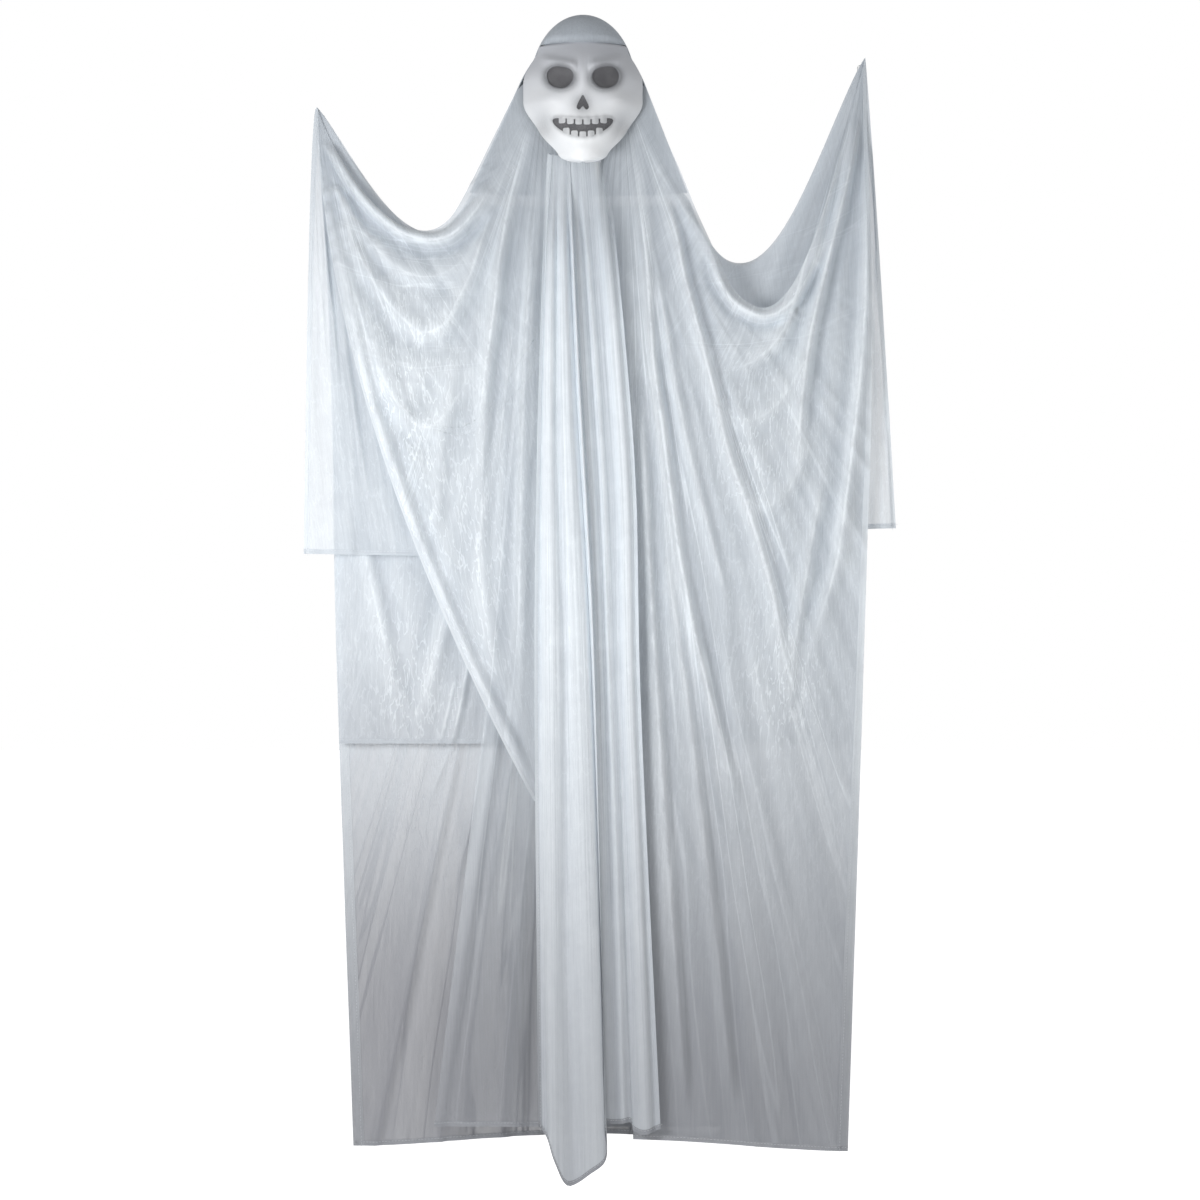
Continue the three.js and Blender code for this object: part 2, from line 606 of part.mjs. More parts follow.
// A screen covers an opening from behind: the part of the mask's own grid that lies over it
function makeScreen(lowX, highX, top, bottom) {
  const rowAt = (below) => Math.round(((below - MASK_TOP) / (MASK_CHIN - MASK_TOP)) * MASK_ROWS);
  const firstRow = rowAt(top);
  const rows = rowAt(bottom) - firstRow;
  const half = maskHalfWidth((top + bottom) / 2);
  const columnAt = (x) => {
    const spread = Math.sign(x) * Math.abs(x / half) ** (1 / 0.92);
    return Math.round(((spread + 1) / 2) * MASK_COLUMNS);
  };
  const firstColumn = columnAt(lowX);
  const columns = columnAt(highX) - firstColumn;
  const near = MASK_WALL + FIT;
  return wallGeometry(columns, rows,
    (column, row) => maskPoint(firstColumn + column, firstRow + row, near),
    (column, row) => maskPoint(firstColumn + column, firstRow + row, near + SCREEN_WALL));
}

// A foam pad fills the room between the mask and the head over a block of the given size
function makePad(x, below, width, height) {
  const near = MASK_WALL + CLOTH_FIT;
  const cavity = toSolid(wallGeometry(MASK_COLUMNS, MASK_ROWS,
    (column, row) => maskPoint(column, row, near),
    (column, row) => [maskPoint(column, row, 0)[0], 20, maskPoint(column, row, 0)[2]]));
  const grown = grownHead();
  const reach = box(width, 200, height, x, -PAD_BACK - 100, -below);
  return toGeometry(reach.intersect(cavity).subtract(grown));
}

function cheekPadX() {
  return HEAD_WIDTH / 2 - CHEEK_PAD_IN;
}

function grownHead() {
  const egg = new THREE.SphereGeometry(1, 32, 24).rotateX(Math.PI / 2);
  const position = egg.attributes.position;
  for (let i = 0; i < position.count; i++) {
    const y = position.getY(i);
    const depth = (y < 0 ? HEAD_FRONT : HEAD_BACK) + CLOTH_FIT;
    position.setXYZ(i, position.getX(i) * (HEAD_WIDTH / 2 + CLOTH_FIT), y * depth,
      position.getZ(i) * (HEAD_HEIGHT / 2 + CLOTH_FIT) - headTop() - HEAD_HEIGHT / 2);
  }
  return toSolid(egg);
}

// Cloth

// A point on the top edge between a hand and a shoulder, where the cloth hangs in a swag
function swag(x, hand, { low, bend, shoulderBend }, shoulder) {
  const fromHand = (x - hand[0]) / (low[0] - hand[0]);
  if (fromHand <= 1) {
    const drop = Math.sin((Math.PI / 2) * Math.max(fromHand, 0)) ** bend;
    return THREE.MathUtils.lerp(hand[1], low[1], drop);
  }
  const along = Math.min(1, (x - low[0]) / (shoulder[0] - low[0]));
  return THREE.MathUtils.lerp(low[1], shoulder[1], along ** shoulderBend);
}

function spline(points) {
  const curve = new THREE.SplineCurve(points.map(([x, z]) => new THREE.Vector2(x, z)));
  return (t) => curve.getPointAt(t).toArray();
}

function between(from, to) {
  return (t) => [THREE.MathUtils.lerp(from[0], to[0], t), THREE.MathUtils.lerp(from[1], to[1], t)];
}

// Places on a sheet between its four edges, as across and down it run from 0 to 1
function patch({ top, bottom, left, right }) {
  const corners = [top(0), top(1), bottom(0), bottom(1)];
  return (u, v) => [0, 1].map((axis) => (1 - v) * top(u)[axis] + v * bottom(u)[axis]
    + (1 - u) * left(v)[axis] + u * right(v)[axis]
    - (1 - u) * (1 - v) * corners[0][axis] - u * (1 - v) * corners[1][axis]
    - (1 - u) * v * corners[2][axis] - u * v * corners[3][axis]);
}

// How far one fold stands out at a place, on its line or beside it
function foldRise({ line, widths, rise, lean }, x, z) {
  let near = { gap: Infinity };
  for (let i = 0; i + 1 < line.length; i++) {
    const [fromX, fromZ] = line[i];
    const dx = line[i + 1][0] - fromX;
    const dz = line[i + 1][1] - fromZ;
    const part = ((x - fromX) * dx + (z - fromZ) * dz) / (dx * dx + dz * dz);
    const share = THREE.MathUtils.clamp(part, 0, 1);
    const px = x - fromX - share * dx;
    const pz = z - fromZ - share * dz;
    const gap = Math.hypot(px, pz);
    if (gap < near.gap) {
      near = { gap, side: Math.sign(dx * pz - dz * px), along: (i + share) / (line.length - 1) };
    }
  }
  const aside = (near.side * near.gap) / THREE.MathUtils.lerp(widths[0], widths[1], near.along);
  const crest = Math.exp(-(aside ** 2));
  const valley = Math.exp(-((aside - VALLEY_GAP * lean) ** 2));
  const fade = ease(near.along, 0, 0.12) * (1 - ease(near.along, 0.72, 1));
  return rise * fade * (crest - VALLEY_SHARE * Math.abs(lean) * valley);
}

function foldsAlong(folds) {
  return (x, z) => folds.reduce((sum, fold) => sum + foldRise(fold, x, z), 0);
}

// Pleats that run down a panel, each at its place across it
function pleats(list) {
  const pleat = (u, [place, width, rise]) => rise * Math.exp(-(((u - place) / width) ** 2));
  return (x, z, u) => list.reduce((sum, one) => sum + pleat(u, one), 0);
}

// Folds that spread from one place to evenly spaced ones on a line, and run on past it
function fan(from, [first, last], { count, widths, rise }) {
  const reach = 1.4;
  return Array.from({ length: count }, (_, i) => {
    const end = [0, 1].map((axis) => THREE.MathUtils.lerp(first[axis], last[axis], i / (count - 1)));
    const past = [0, 1].map((axis) => THREE.MathUtils.lerp(from[axis], end[axis], reach));
    return { line: [from, past], widths, rise, lean: 0.8 };
  });
}

function apart(x, z) {
  const left = Math.hypot(x - HAND_LEFT[0], z - HAND_LEFT[1]);
  const right = Math.hypot(x - HAND_RIGHT[0], z - HAND_RIGHT[1]);
  return ease(left, PINCH_FLAT, PINCH_REACH) * ease(right, PINCH_FLAT, PINCH_REACH);
}

function tipDepth(layer) {
  return TIP_FRONT + layer.order * (CLOTH + CLOTH_FIT);
}

// A fold's height, bent so that it stays between the layers in front and behind
function limited(rise, forward, back) {
  return rise > 0 ? forward * Math.tanh(rise / forward) : back * Math.tanh(rise / back);
}

// Depth of a sheet that hangs from the hands
function handDepth(layer, rise, x, z) {
  const rest = layer.depth - limited(rise, layer.forward, layer.back);
  return THREE.MathUtils.lerp(tipDepth(layer), rest, apart(x, z));
}

// A cape's folds are lower behind the middle panels, and at the head it is drawn in between hood and mask
function capeDepth(layer, rise, x, z) {
  const beside = Math.max(ease(-x, ...FREE_LEFT), ease(x, ...FREE_RIGHT));
  const bent = limited(rise, THREE.MathUtils.lerp(BEHIND_PANELS, layer.forward, beside), layer.back);
  const share = apart(x, z);
  const toLeft = Math.hypot(x - HAND_LEFT[0], z - HAND_LEFT[1]);
  const toRight = Math.hypot(x - HAND_RIGHT[0], z - HAND_RIGHT[1]);
  const inFront = Math.max(bent, 0) * ease(Math.min(toLeft, toRight), 12, 120);
  const behind = Math.min(bent, 0) * share;
  const hang = THREE.MathUtils.lerp(tipDepth(layer), layer.depth, share) - inFront - behind;
  const fromHead = Math.hypot(x, (z + 200) * 0.8);
  return THREE.MathUtils.lerp(SHOULDER_DEPTH, hang, ease(fromHead, 120, 260));
}

// The back robe lies over the back of the hood
function backDepth(layer, rise, x, z) {
  const free = handDepth(layer, rise, x, z);
  const below = Math.min(-z, HOOD_HEM);
  const section = hoodSection(below);
  const aside = Math.min(1, Math.abs(x - section.middle) / section.width);
  const hood = section.back * Math.sqrt(1 - aside * aside) + ROBE_REST;
  const over = hood * (1 - ease(-z, HOOD_HEM, HOOD_HEM + ROBE_FALL));
  const apartBy = Math.abs(free - over) / ROBE_SOFTNESS;
  const lifted = Math.max(free, over) + ROBE_SOFTNESS * Math.log(1 + Math.exp(-apartBy));
  return THREE.MathUtils.lerp(free, lifted, 1 - ease(aside, 0.8, 1));
}

// A panel that is gathered over the neck band spreads out from there
function panelDepth(gather) {
  return (layer, rise, x, z) => {
    const rest = layer.depth - limited(rise, layer.forward, layer.back);
    return THREE.MathUtils.lerp(gather, rest, ease(-z, -PANEL_TOP + 24, -PANEL_TOP + NECK_REACH));
  };
}

// Stops from 0 to 1, drawn closer together by a curve where the sheet needs more of them
function stops(count, curve) {
  const crowding = 0.7;
  const even = Array.from({ length: count + 1 }, (_, i) => i / count);
  return even.map((t) => THREE.MathUtils.lerp(t, curve(t), crowding));
}

const crowdedEnds = (t) => (1 - Math.cos(Math.PI * t)) / 2;
const crowdedStart = (t) => t * t;

function sheet({ edges, layer, depth, rise, columns, rows }) {
  const place = patch(edges);
  const us = stops(columns, crowdedEnds);
  const vs = stops(rows, crowdedStart);
  const pointAt = (back) => (column, row) => {
    const u = us[column];
    const v = vs[row];
    const [x, z] = place(u, v);
    return [x, depth(layer, rise(x, z, u), x, z) + back, z];
  };
  return wallGeometry(columns, rows, pointAt(0), pointAt(CLOTH));
}

function hemAt(x, level) {
  const middle = (ROBE_HEM_LEFT + ROBE_HEM_RIGHT) / 2;
  const aside = (x - middle) / ((ROBE_HEM_RIGHT - ROBE_HEM_LEFT) / 2);
  return level + HEM_RISE * (1 - aside * aside) ** 2;
}

function hem(fromX, toX, level) {
  return (t) => {
    const x = THREE.MathUtils.lerp(fromX, toX, t);
    return [x, hemAt(x, level)];
  };
}

function robeTop(middleZ) {
  return (t) => {
    const x = THREE.MathUtils.lerp(HAND_LEFT[0], HAND_RIGHT[0], t);
    if (x <= SHOULDER_LEFT[0]) return [x, swag(x, HAND_LEFT, BACK_SWAG_LEFT, SHOULDER_LEFT)];
    if (x >= SHOULDER_RIGHT[0]) return [x, swag(x, HAND_RIGHT, BACK_SWAG_RIGHT, SHOULDER_RIGHT)];
    const over = (x - SHOULDER_LEFT[0]) / (SHOULDER_RIGHT[0] - SHOULDER_LEFT[0]);
    const base = THREE.MathUtils.lerp(SHOULDER_LEFT[1], SHOULDER_RIGHT[1], over);
    return [x, THREE.MathUtils.lerp(base, middleZ, Math.sin(Math.PI * over))];
  };
}

function makeBackRobe() {
  const left = [HAND_LEFT, ...ROBE_SIDE_LEFT, [ROBE_HEM_LEFT, ROBE_HEM]];
  const right = [HAND_RIGHT, ...ROBE_SIDE_RIGHT, [ROBE_HEM_RIGHT, ROBE_HEM]];
  const hemEnds = [[ROBE_HEM_LEFT + BACK_HEM_IN, ROBE_HEM], [ROBE_HEM_RIGHT - BACK_HEM_IN, ROBE_HEM]];
  return sheet({
    layer: LAYERS.back,
    depth: backDepth,
    columns: 22,
    rows: 14,
    rise: foldsAlong([
      ...fan(HAND_LEFT, BACK_HAND_LEFT, BACK_HAND_FAN),
      ...fan(HAND_RIGHT, BACK_HAND_RIGHT, BACK_HAND_FAN),
      ...fan(NECK, hemEnds, BACK_HEM_FAN),
    ]),
    edges: {
      top: robeTop(NAPE),
      bottom: hem(ROBE_HEM_LEFT, ROBE_HEM_RIGHT, ROBE_HEM),
      left: spline(left),
      right: spline(right),
    },
  });
}

function innerTop(t) {
  const [x, z] = robeTop(INNER_TOP)(t);
  const inFromHand = Math.min(x - HAND_LEFT[0], HAND_RIGHT[0] - x);
  const low = Math.abs(x) < HOOD_HEM_WIDTH / 2 + 20 ? Math.min(z, INNER_TOP) : z;
  return [x, low - 6 * ease(inFromHand, 0, 60)];
}

function makeInnerRobe() {
  const sideLeft = [ROBE_SIDE_LEFT[1][0] + 8, INNER_HEM];
  const sideRight = [ROBE_SIDE_RIGHT[1][0] - 16, INNER_HEM];
  return sheet({
    layer: LAYERS.inner,
    depth: handDepth,
    columns: 20,
    rows: 9,
    rise: foldsAlong(INNER_ROBE_FOLDS),
    edges: {
      top: innerTop,
      bottom: between(sideLeft, sideRight),
      left: spline([HAND_LEFT, ROBE_SIDE_LEFT[0], sideLeft]),
      right: spline([HAND_RIGHT, ROBE_SIDE_RIGHT[0], sideRight]),
    },
  });
}

function frontRobeDepth(top) {
  return (layer, rise, x, z) => {
    const free = ease(-z, -top + 10, -top + 160);
    return layer.depth - limited(rise, layer.forward, layer.back) * free;
  };
}

function makeFrontRobe() {
  const top = neckTop() - NECK_LENGTH + FRONT_ROBE_LAP - CLOTH_FIT;
  const lowLeft = [FRONT_ROBE_HEM_LEFT, FRONT_ROBE_HEM];
  const lowRight = [FRONT_ROBE_HEM_RIGHT, FRONT_ROBE_HEM];
  return sheet({
    layer: LAYERS.frontRobe,
    depth: frontRobeDepth(top),
    columns: 8,
    rows: 8,
    rise: foldsAlong(fan(NECK, [lowLeft, lowRight], FRONT_ROBE_FAN)),
    edges: {
      top: between([-FRONT_ROBE_NECK, top], [FRONT_ROBE_NECK, top]),
      bottom: between(lowLeft, lowRight),
      left: between([-FRONT_ROBE_NECK, top], lowLeft),
      right: between([FRONT_ROBE_NECK, top], lowRight),
    },
  });
}

// The edge of a cape: from the mask's side, along the jaw, and down behind the middle panels
function innerEdge(side, low) {
  const jaw = JAW.map(([x, z]) => [side * x, z]);
  const [neckX, neckZ] = jaw[jaw.length - 1];
  return spline([...jaw, [neckX * 1.1, (neckZ + low[1]) / 3], low]);
}

// A cape's top edge: from the hand through the swag, and up beside the hood to the mask's side
function capeTop(hand, { low, bend }, rise, cheek) {
  const fall = [0.08, 0.2, 0.36, 0.55, 0.76, 1].map((share) => {
    const drop = Math.sin((Math.PI / 2) * share) ** bend;
    return [THREE.MathUtils.lerp(hand[0], low[0], share), THREE.MathUtils.lerp(hand[1], low[1], drop)];
  });
  return spline([hand, ...fall, ...rise, cheek]);
}

function makeLeftCape() {
  const top = capeTop(HAND_LEFT, FRONT_SWAG_LEFT, RISE_LEFT, [-JAW[0][0], JAW[0][1]]);
  const hemLine = (t) => {
    const z = THREE.MathUtils.lerp(HAND_LEFT[1], CAPE_POINT[1], t);
    return [THREE.MathUtils.lerp(HAND_LEFT[0], CAPE_POINT[0], t ** CAPE_HEM_CURVE), z];
  };
  const innerLow = [CAPE_POINT[0] + CAPE_POINT_WIDTH, CAPE_POINT[1] - 8];
  return sheet({
    layer: LAYERS.cape,
    depth: capeDepth,
    columns: 18,
    rows: 20,
    rise: foldsAlong(LEFT_CAPE_FOLDS),
    edges: { top, bottom: between(CAPE_POINT, innerLow), left: hemLine, right: innerEdge(-1, innerLow) },
  });
}

function makeRightCape() {
  const fromHand = capeTop(HAND_RIGHT, FRONT_SWAG_RIGHT, RISE_RIGHT, JAW[0]);
  const top = (t) => fromHand(1 - t);
  const innerLow = [CAPE_HEM_INNER, hemAt(CAPE_HEM_INNER, ROBE_HEM)];
  const side = [HAND_RIGHT, ...ROBE_SIDE_RIGHT, [ROBE_HEM_RIGHT, ROBE_HEM]];
  return sheet({
    layer: LAYERS.cape,
    depth: capeDepth,
    columns: 20,
    rows: 21,
    rise: foldsAlong(RIGHT_CAPE_FOLDS),
    edges: {
      top,
      bottom: hem(CAPE_HEM_INNER, ROBE_HEM_RIGHT, ROBE_HEM),
      left: innerEdge(1, innerLow),
      right: spline(side),
    },
  });
}

function makeSleeve(hand, [out, inside], low, bow) {
  const outer = (t) => {
    const z = THREE.MathUtils.lerp(hand[1], low, t);
    return [THREE.MathUtils.lerp(hand[0], out, t ** bow), z];
  };
  const start = between(hand, [hand[0] + Math.sign(inside - hand[0]) * 3, hand[1] - 3]);
  const inner = between(start(1), [inside, low - 4]);
  const hemLine = between([out, low], [inside, low - 4]);
  const reversed = (edge) => (t) => edge(1 - t);
  const edges = hand[0] < 0
    ? { top: start, bottom: hemLine, left: outer, right: inner }
    : { top: reversed(start), bottom: reversed(hemLine), left: inner, right: outer };
  return sheet({
    layer: LAYERS.sleeve,
    depth: handDepth,
    columns: 6,
    rows: 7,
    rise: foldsAlong(fan(hand, [[out, low], [inside, low]], SLEEVE_FAN)),
    edges,
  });
}

function makeTailPanel() {
  return sheet({
    layer: LAYERS.panelLeft,
    depth: panelDepth(-(NECK_RADIUS + BAND_THICKNESS + BAND_SWELL + CLOTH_FIT * 3 + CLOTH * 2)),
    columns: 9,
    rows: 16,
    rise: pleats(TAIL_PLEATS),
    edges: {
      top: between([PANEL_LEFT_SIDE[0][0] + 8, PANEL_TOP], [PANEL_MIDDLE[0][0], PANEL_TOP]),
      bottom: spline([PANEL_LEFT_SIDE[3], ...TAIL_HEM, PANEL_MIDDLE[3]]),
      left: spline([[PANEL_LEFT_SIDE[0][0] + 8, PANEL_TOP], ...PANEL_LEFT_SIDE]),
      right: spline([[PANEL_MIDDLE[0][0], PANEL_TOP], ...PANEL_MIDDLE]),
    },
  });
}

function makeSidePanel() {
  return sheet({
    layer: LAYERS.panelRight,
    depth: panelDepth(-(NECK_RADIUS + BAND_THICKNESS + BAND_SWELL + CLOTH_FIT * 2 + CLOTH)),
    columns: 8,
    rows: 16,
    rise: pleats(SIDE_PLEATS),
    edges: {
      top: between([PANEL_MIDDLE_BACK[0][0], PANEL_TOP], [PANEL_RIGHT_SIDE[0][0] - 8, PANEL_TOP]),
      bottom: spline([PANEL_MIDDLE_BACK[3], ...SIDE_HEM, PANEL_RIGHT_SIDE[3]]),
      left: spline([[PANEL_MIDDLE_BACK[0][0], PANEL_TOP], ...PANEL_MIDDLE_BACK]),
      right: spline([[PANEL_RIGHT_SIDE[0][0] - 8, PANEL_TOP], ...PANEL_RIGHT_SIDE]),
    },
  });
}

// Hanger

function screwHeights() {
  const middle = -BOSS_Z - RING_WIRE / 2;
  return [middle + SCREW_SPACING / 2, middle - SCREW_SPACING / 2];
}

function plateFace() {
  return BOSS_FACE + FIT;
}

function pinRadius(wire) {
  return wire / 2 + PIN_CLEARANCE;
}

function hangerPin() {
  const outer = pinRadius(RING_WIRE) + PLATE_WALL * 0.75;
  return { y: plateFace() + outer, z: -BOSS_Z + PLATE_HEIGHT / 2, outer };
}

function makeHangerPlate() {
  const pin = hangerPin();
  let plate = box(PLATE_WIDTH, PLATE_WALL, PLATE_HEIGHT, 0, plateFace() + PLATE_WALL / 2, -BOSS_Z);
  plate = plate.add(rodX(pin.outer, PLATE_WIDTH, 0, pin.y, pin.z, 24));
  plate = plate.subtract(rodX(pinRadius(RING_WIRE), PLATE_WIDTH * 2, 0, pin.y, pin.z, 24));
  for (const z of screwHeights()) {
    plate = plate.subtract(rodY(SCREW_RADIUS + FIT, PLATE_WALL * 4, 0, plateFace(), z, 16));
  }
  return toGeometry(plate);
}

function makeHangerScrew(z) {
  const under = plateFace() + PLATE_WALL + FIT;
  const top = under + SCREW_HEAD_HEIGHT;
  const profile = [[0, under - SCREW_LENGTH], [SCREW_RADIUS * 0.5, under - SCREW_LENGTH + 1],
    [SCREW_RADIUS, under - SCREW_LENGTH + 3], [SCREW_RADIUS, under], [SCREW_HEAD_RADIUS, under],
    [SCREW_HEAD_RADIUS * 0.85, top - 0.5], [SCREW_HEAD_RADIUS * 0.5, top], [0, top]];
  const turned = new THREE.LatheGeometry(profile.map(([r, y]) => new THREE.Vector2(r, y)), 20);
  return weld(at(turned, 0, 0, z));
}

function makeHangerRing() {
  const pin = hangerPin();
  return wireLoop(ringLine(RING_WIDTH, RING_HEIGHT, 0, pin.y, pin.z), RING_WIRE, 10);
}

// Hands

function handPin(hand) {
  const outer = pinRadius(HAND_WIRE) + TAB_WALL / 4;
  const y = tipDepth(LAYERS.back) + CLOTH + CLOTH_FIT + outer;
  return { x: hand[0] - Math.sign(hand[0]) * HAND_RING_IN, y, z: hand[1] - HAND_RING_DROP, outer };
}

function makeHandTab(hand) {
  const pin = handPin(hand);
  const strap = box(TAB_WIDTH, TAB_WALL, TAB_LENGTH, pin.x, pin.y - pin.outer + TAB_WALL / 2,
    pin.z - TAB_LENGTH / 2);
  const loop = rodX(pin.outer, TAB_WIDTH, pin.x, pin.y, pin.z);
  const bore = rodX(pinRadius(HAND_WIRE), TAB_WIDTH * 2, pin.x, pin.y, pin.z);
  return toGeometry(strap.add(loop).subtract(bore));
}

function makeHandRing(hand) {
  const pin = handPin(hand);
  return wireLoop(ringLine(HAND_RING_WIDTH, HAND_RING_HEIGHT, pin.x, pin.y, pin.z), HAND_WIRE, 8);
}

// Assembly

const model = new THREE.Group();
const ghost = new THREE.Group();
ghost.position.set(0, -hangerPin().y, -(hangerPin().z + RING_HEIGHT - RING_WIRE / 2));
model.add(ghost);

function add(name, geometry, finish) {
  const material = new THREE.MeshStandardMaterial({
    color: finish.colour,
    roughness: finish.roughness,
    metalness: finish.metalness,
  });
  const mesh = new THREE.Mesh(geometry, material);
  mesh.name = name;
  ghost.add(mesh);
}

add('head_form', makeHeadForm(), FOAM);
add('neck_band', makeNeckBand(), FABRIC);
add('hood', makeHood(), FABRIC);
add('mask_shell', makeMask(), VINYL);
const eyeReach = EYE_WIDTH * 0.6;
const eyeSpan = [EYE_Z - EYE_HEIGHT * 0.66, EYE_Z + EYE_HEIGHT * 0.66];
add('eye_screen_left', makeScreen(-EYE_X - eyeReach, -EYE_X + eyeReach, ...eyeSpan), MESH);
add('eye_screen_right', makeScreen(EYE_X - eyeReach, EYE_X + eyeReach, ...eyeSpan), MESH);
add('nose_screen', makeScreen(-NOSE_WIDTH * 0.75, NOSE_WIDTH * 0.75,
  NOSE_Z - NOSE_HEIGHT * 0.65, NOSE_Z + NOSE_HEIGHT * 0.62), MESH);
add('mouth_screen', makeScreen(-MOUTH_WIDTH * 0.56, MOUTH_WIDTH * 0.56,
  MOUTH_Z - MOUTH_CURVE - MOUTH_HEIGHT * 0.2, MOUTH_Z + MOUTH_HEIGHT * 0.68), MESH);
const foreheadPadZ = HOOD_BROW + FOREHEAD_PAD_DROP;
add('forehead_pad', makePad(0, foreheadPadZ, FOREHEAD_PAD_WIDTH, FOREHEAD_PAD_HEIGHT), FOAM);
add('cheek_pad_left', makePad(-cheekPadX(), CHEEK_PAD_Z, CHEEK_PAD_WIDTH, CHEEK_PAD_HEIGHT), FOAM);
add('cheek_pad_right', makePad(cheekPadX(), CHEEK_PAD_Z, CHEEK_PAD_WIDTH, CHEEK_PAD_HEIGHT), FOAM);
add('back_robe', makeBackRobe(), FABRIC);
add('inner_robe', makeInnerRobe(), FABRIC);
add('front_robe', makeFrontRobe(), FABRIC);
add('left_sleeve', makeSleeve(HAND_LEFT, [SLEEVE_LEFT_OUT, SLEEVE_LEFT_IN], SLEEVE_LEFT_HEM,
  SLEEVE_LEFT_BOW), FABRIC);
add('right_sleeve', makeSleeve(HAND_RIGHT, [SLEEVE_RIGHT_OUT, SLEEVE_RIGHT_IN], SLEEVE_RIGHT_HEM,
  SLEEVE_RIGHT_BOW), FABRIC);
add('left_cape', makeLeftCape(), FABRIC);
add('right_cape', makeRightCape(), FABRIC);
add('tail_panel', makeTailPanel(), FABRIC);
add('side_panel', makeSidePanel(), FABRIC);
add('hanger_plate', makeHangerPlate(), STEEL);
add('hanger_ring', makeHangerRing(), STEEL);
screwHeights().forEach((z, i) => add(`hanger_screw_${i + 1}`, makeHangerScrew(z), STEEL));
add('left_hand_tab', makeHandTab(HAND_LEFT), FABRIC);
add('left_hand_ring', makeHandRing(HAND_LEFT), STEEL);
add('right_hand_tab', makeHandTab(HAND_RIGHT), FABRIC);
add('right_hand_ring', makeHandRing(HAND_RIGHT), STEEL);

export default model;
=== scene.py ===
# %% [markdown]
# # A hanging ghost of gauze
# The decoration is a moulded mask on a foam head, a hood, and eight lengths of thin gauze that hang from
# the head and from two raised, pointed hands. Cloth that hangs still is a surface over the front view: each
# length has an outline, and a depth at every place. So each is made as a grid between its four edges, and
# its folds are added as depth. A simulation would drape it by itself, but would not put a fold where the
# real one lies, so it is left out.

# %% Load the frame
import math

import bmesh
import bpy
import numpy as np
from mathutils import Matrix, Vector


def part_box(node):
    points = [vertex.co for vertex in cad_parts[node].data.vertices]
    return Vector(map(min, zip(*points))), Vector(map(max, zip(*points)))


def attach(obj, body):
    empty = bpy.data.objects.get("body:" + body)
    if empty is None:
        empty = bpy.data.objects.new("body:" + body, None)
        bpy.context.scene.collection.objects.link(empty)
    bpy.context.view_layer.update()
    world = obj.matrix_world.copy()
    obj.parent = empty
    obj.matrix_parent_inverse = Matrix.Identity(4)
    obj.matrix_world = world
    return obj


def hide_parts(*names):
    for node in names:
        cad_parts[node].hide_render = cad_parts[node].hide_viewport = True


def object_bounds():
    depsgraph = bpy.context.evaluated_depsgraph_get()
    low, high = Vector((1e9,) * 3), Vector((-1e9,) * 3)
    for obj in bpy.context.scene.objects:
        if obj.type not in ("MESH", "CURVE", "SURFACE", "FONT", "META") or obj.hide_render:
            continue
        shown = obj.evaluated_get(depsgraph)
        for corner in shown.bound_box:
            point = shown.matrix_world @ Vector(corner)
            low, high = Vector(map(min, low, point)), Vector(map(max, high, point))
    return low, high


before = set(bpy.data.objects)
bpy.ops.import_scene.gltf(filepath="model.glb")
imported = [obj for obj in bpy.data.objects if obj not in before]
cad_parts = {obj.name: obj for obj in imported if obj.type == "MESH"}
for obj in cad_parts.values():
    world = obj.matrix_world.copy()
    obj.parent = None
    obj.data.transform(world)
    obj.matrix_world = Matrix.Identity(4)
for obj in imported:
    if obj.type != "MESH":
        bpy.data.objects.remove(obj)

cad_box = [list(corner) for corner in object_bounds()]
print("CAD box", np.round(cad_box, 3).tolist())

# %% [markdown]
# ## Camera and light
# A long lens far away keeps the two hands the same size, as a catalogue picture does. The light is a large
# soft lamp in front and to the left, level with the ghost's middle, with a weaker one on the right and one
# behind, and an even white room around. Sunlight would give the thin cloth hard shadows, which a picture of
# gauze on white doesn't have.

# %% Camera, lamps, floor and room
VIEW_HEIGHT = 2.16
CAMERA_DISTANCE = 8.0
SENSOR = 36.0
FLOOR_DROP = 0.25
CLOTH_PLANE = -0.092                     # depth of the cloth's middle
VIEW_CENTRE = Vector((0.0306, CLOTH_PLANE, -1.0273))


def aim(thing, target):
    thing.rotation_euler = (target - thing.location).to_track_quat("-Z", "Y").to_euler()


camera = bpy.data.objects.new("camera", bpy.data.cameras.new("camera"))
camera.data.sensor_width = SENSOR
camera.data.lens = SENSOR * CAMERA_DISTANCE / VIEW_HEIGHT
camera.location = VIEW_CENTRE - Vector((0, CAMERA_DISTANCE, 0))
aim(camera, VIEW_CENTRE)
bpy.context.collection.objects.link(camera)
bpy.context.scene.camera = camera


def soft_lamp(name, place, target, size, power):
    lamp = bpy.data.objects.new(name, bpy.data.lights.new(name, "AREA"))
    lamp.data.shape = "DISK"
    lamp.data.size = size
    lamp.data.energy = power
    lamp.location = Vector(place)
    aim(lamp, Vector(target))
    bpy.context.collection.objects.link(lamp)


soft_lamp("key_lamp", (-1.1, -1.8, -0.95), (-0.1, 0.0, -0.95), 1.0, 26)
soft_lamp("side_lamp", (1.4, -2.3, -0.95), (0.2, 0.0, -0.9), 1.4, 12)
soft_lamp("back_lamp", (-0.6, 2.4, -0.3), (0.0, 0.0, -0.8), 1.4, 18)

scene = bpy.context.scene
scene.view_settings.view_transform = "Standard"
scene.cycles.transparent_max_bounces = 24        # a ray may pass this many layers of gauze
print("lens", round(camera.data.lens, 1), "mm, from", CAMERA_DISTANCE, "m")

# %% [markdown]
# ## Node writing
# A material is easier to read as arithmetic than as a list of links. `Value` wraps one socket, and adds a
# Math node for each sign, also where a plain number stands on the left. `Nodes.add` makes any other node
# from its type, its settings and its inputs.

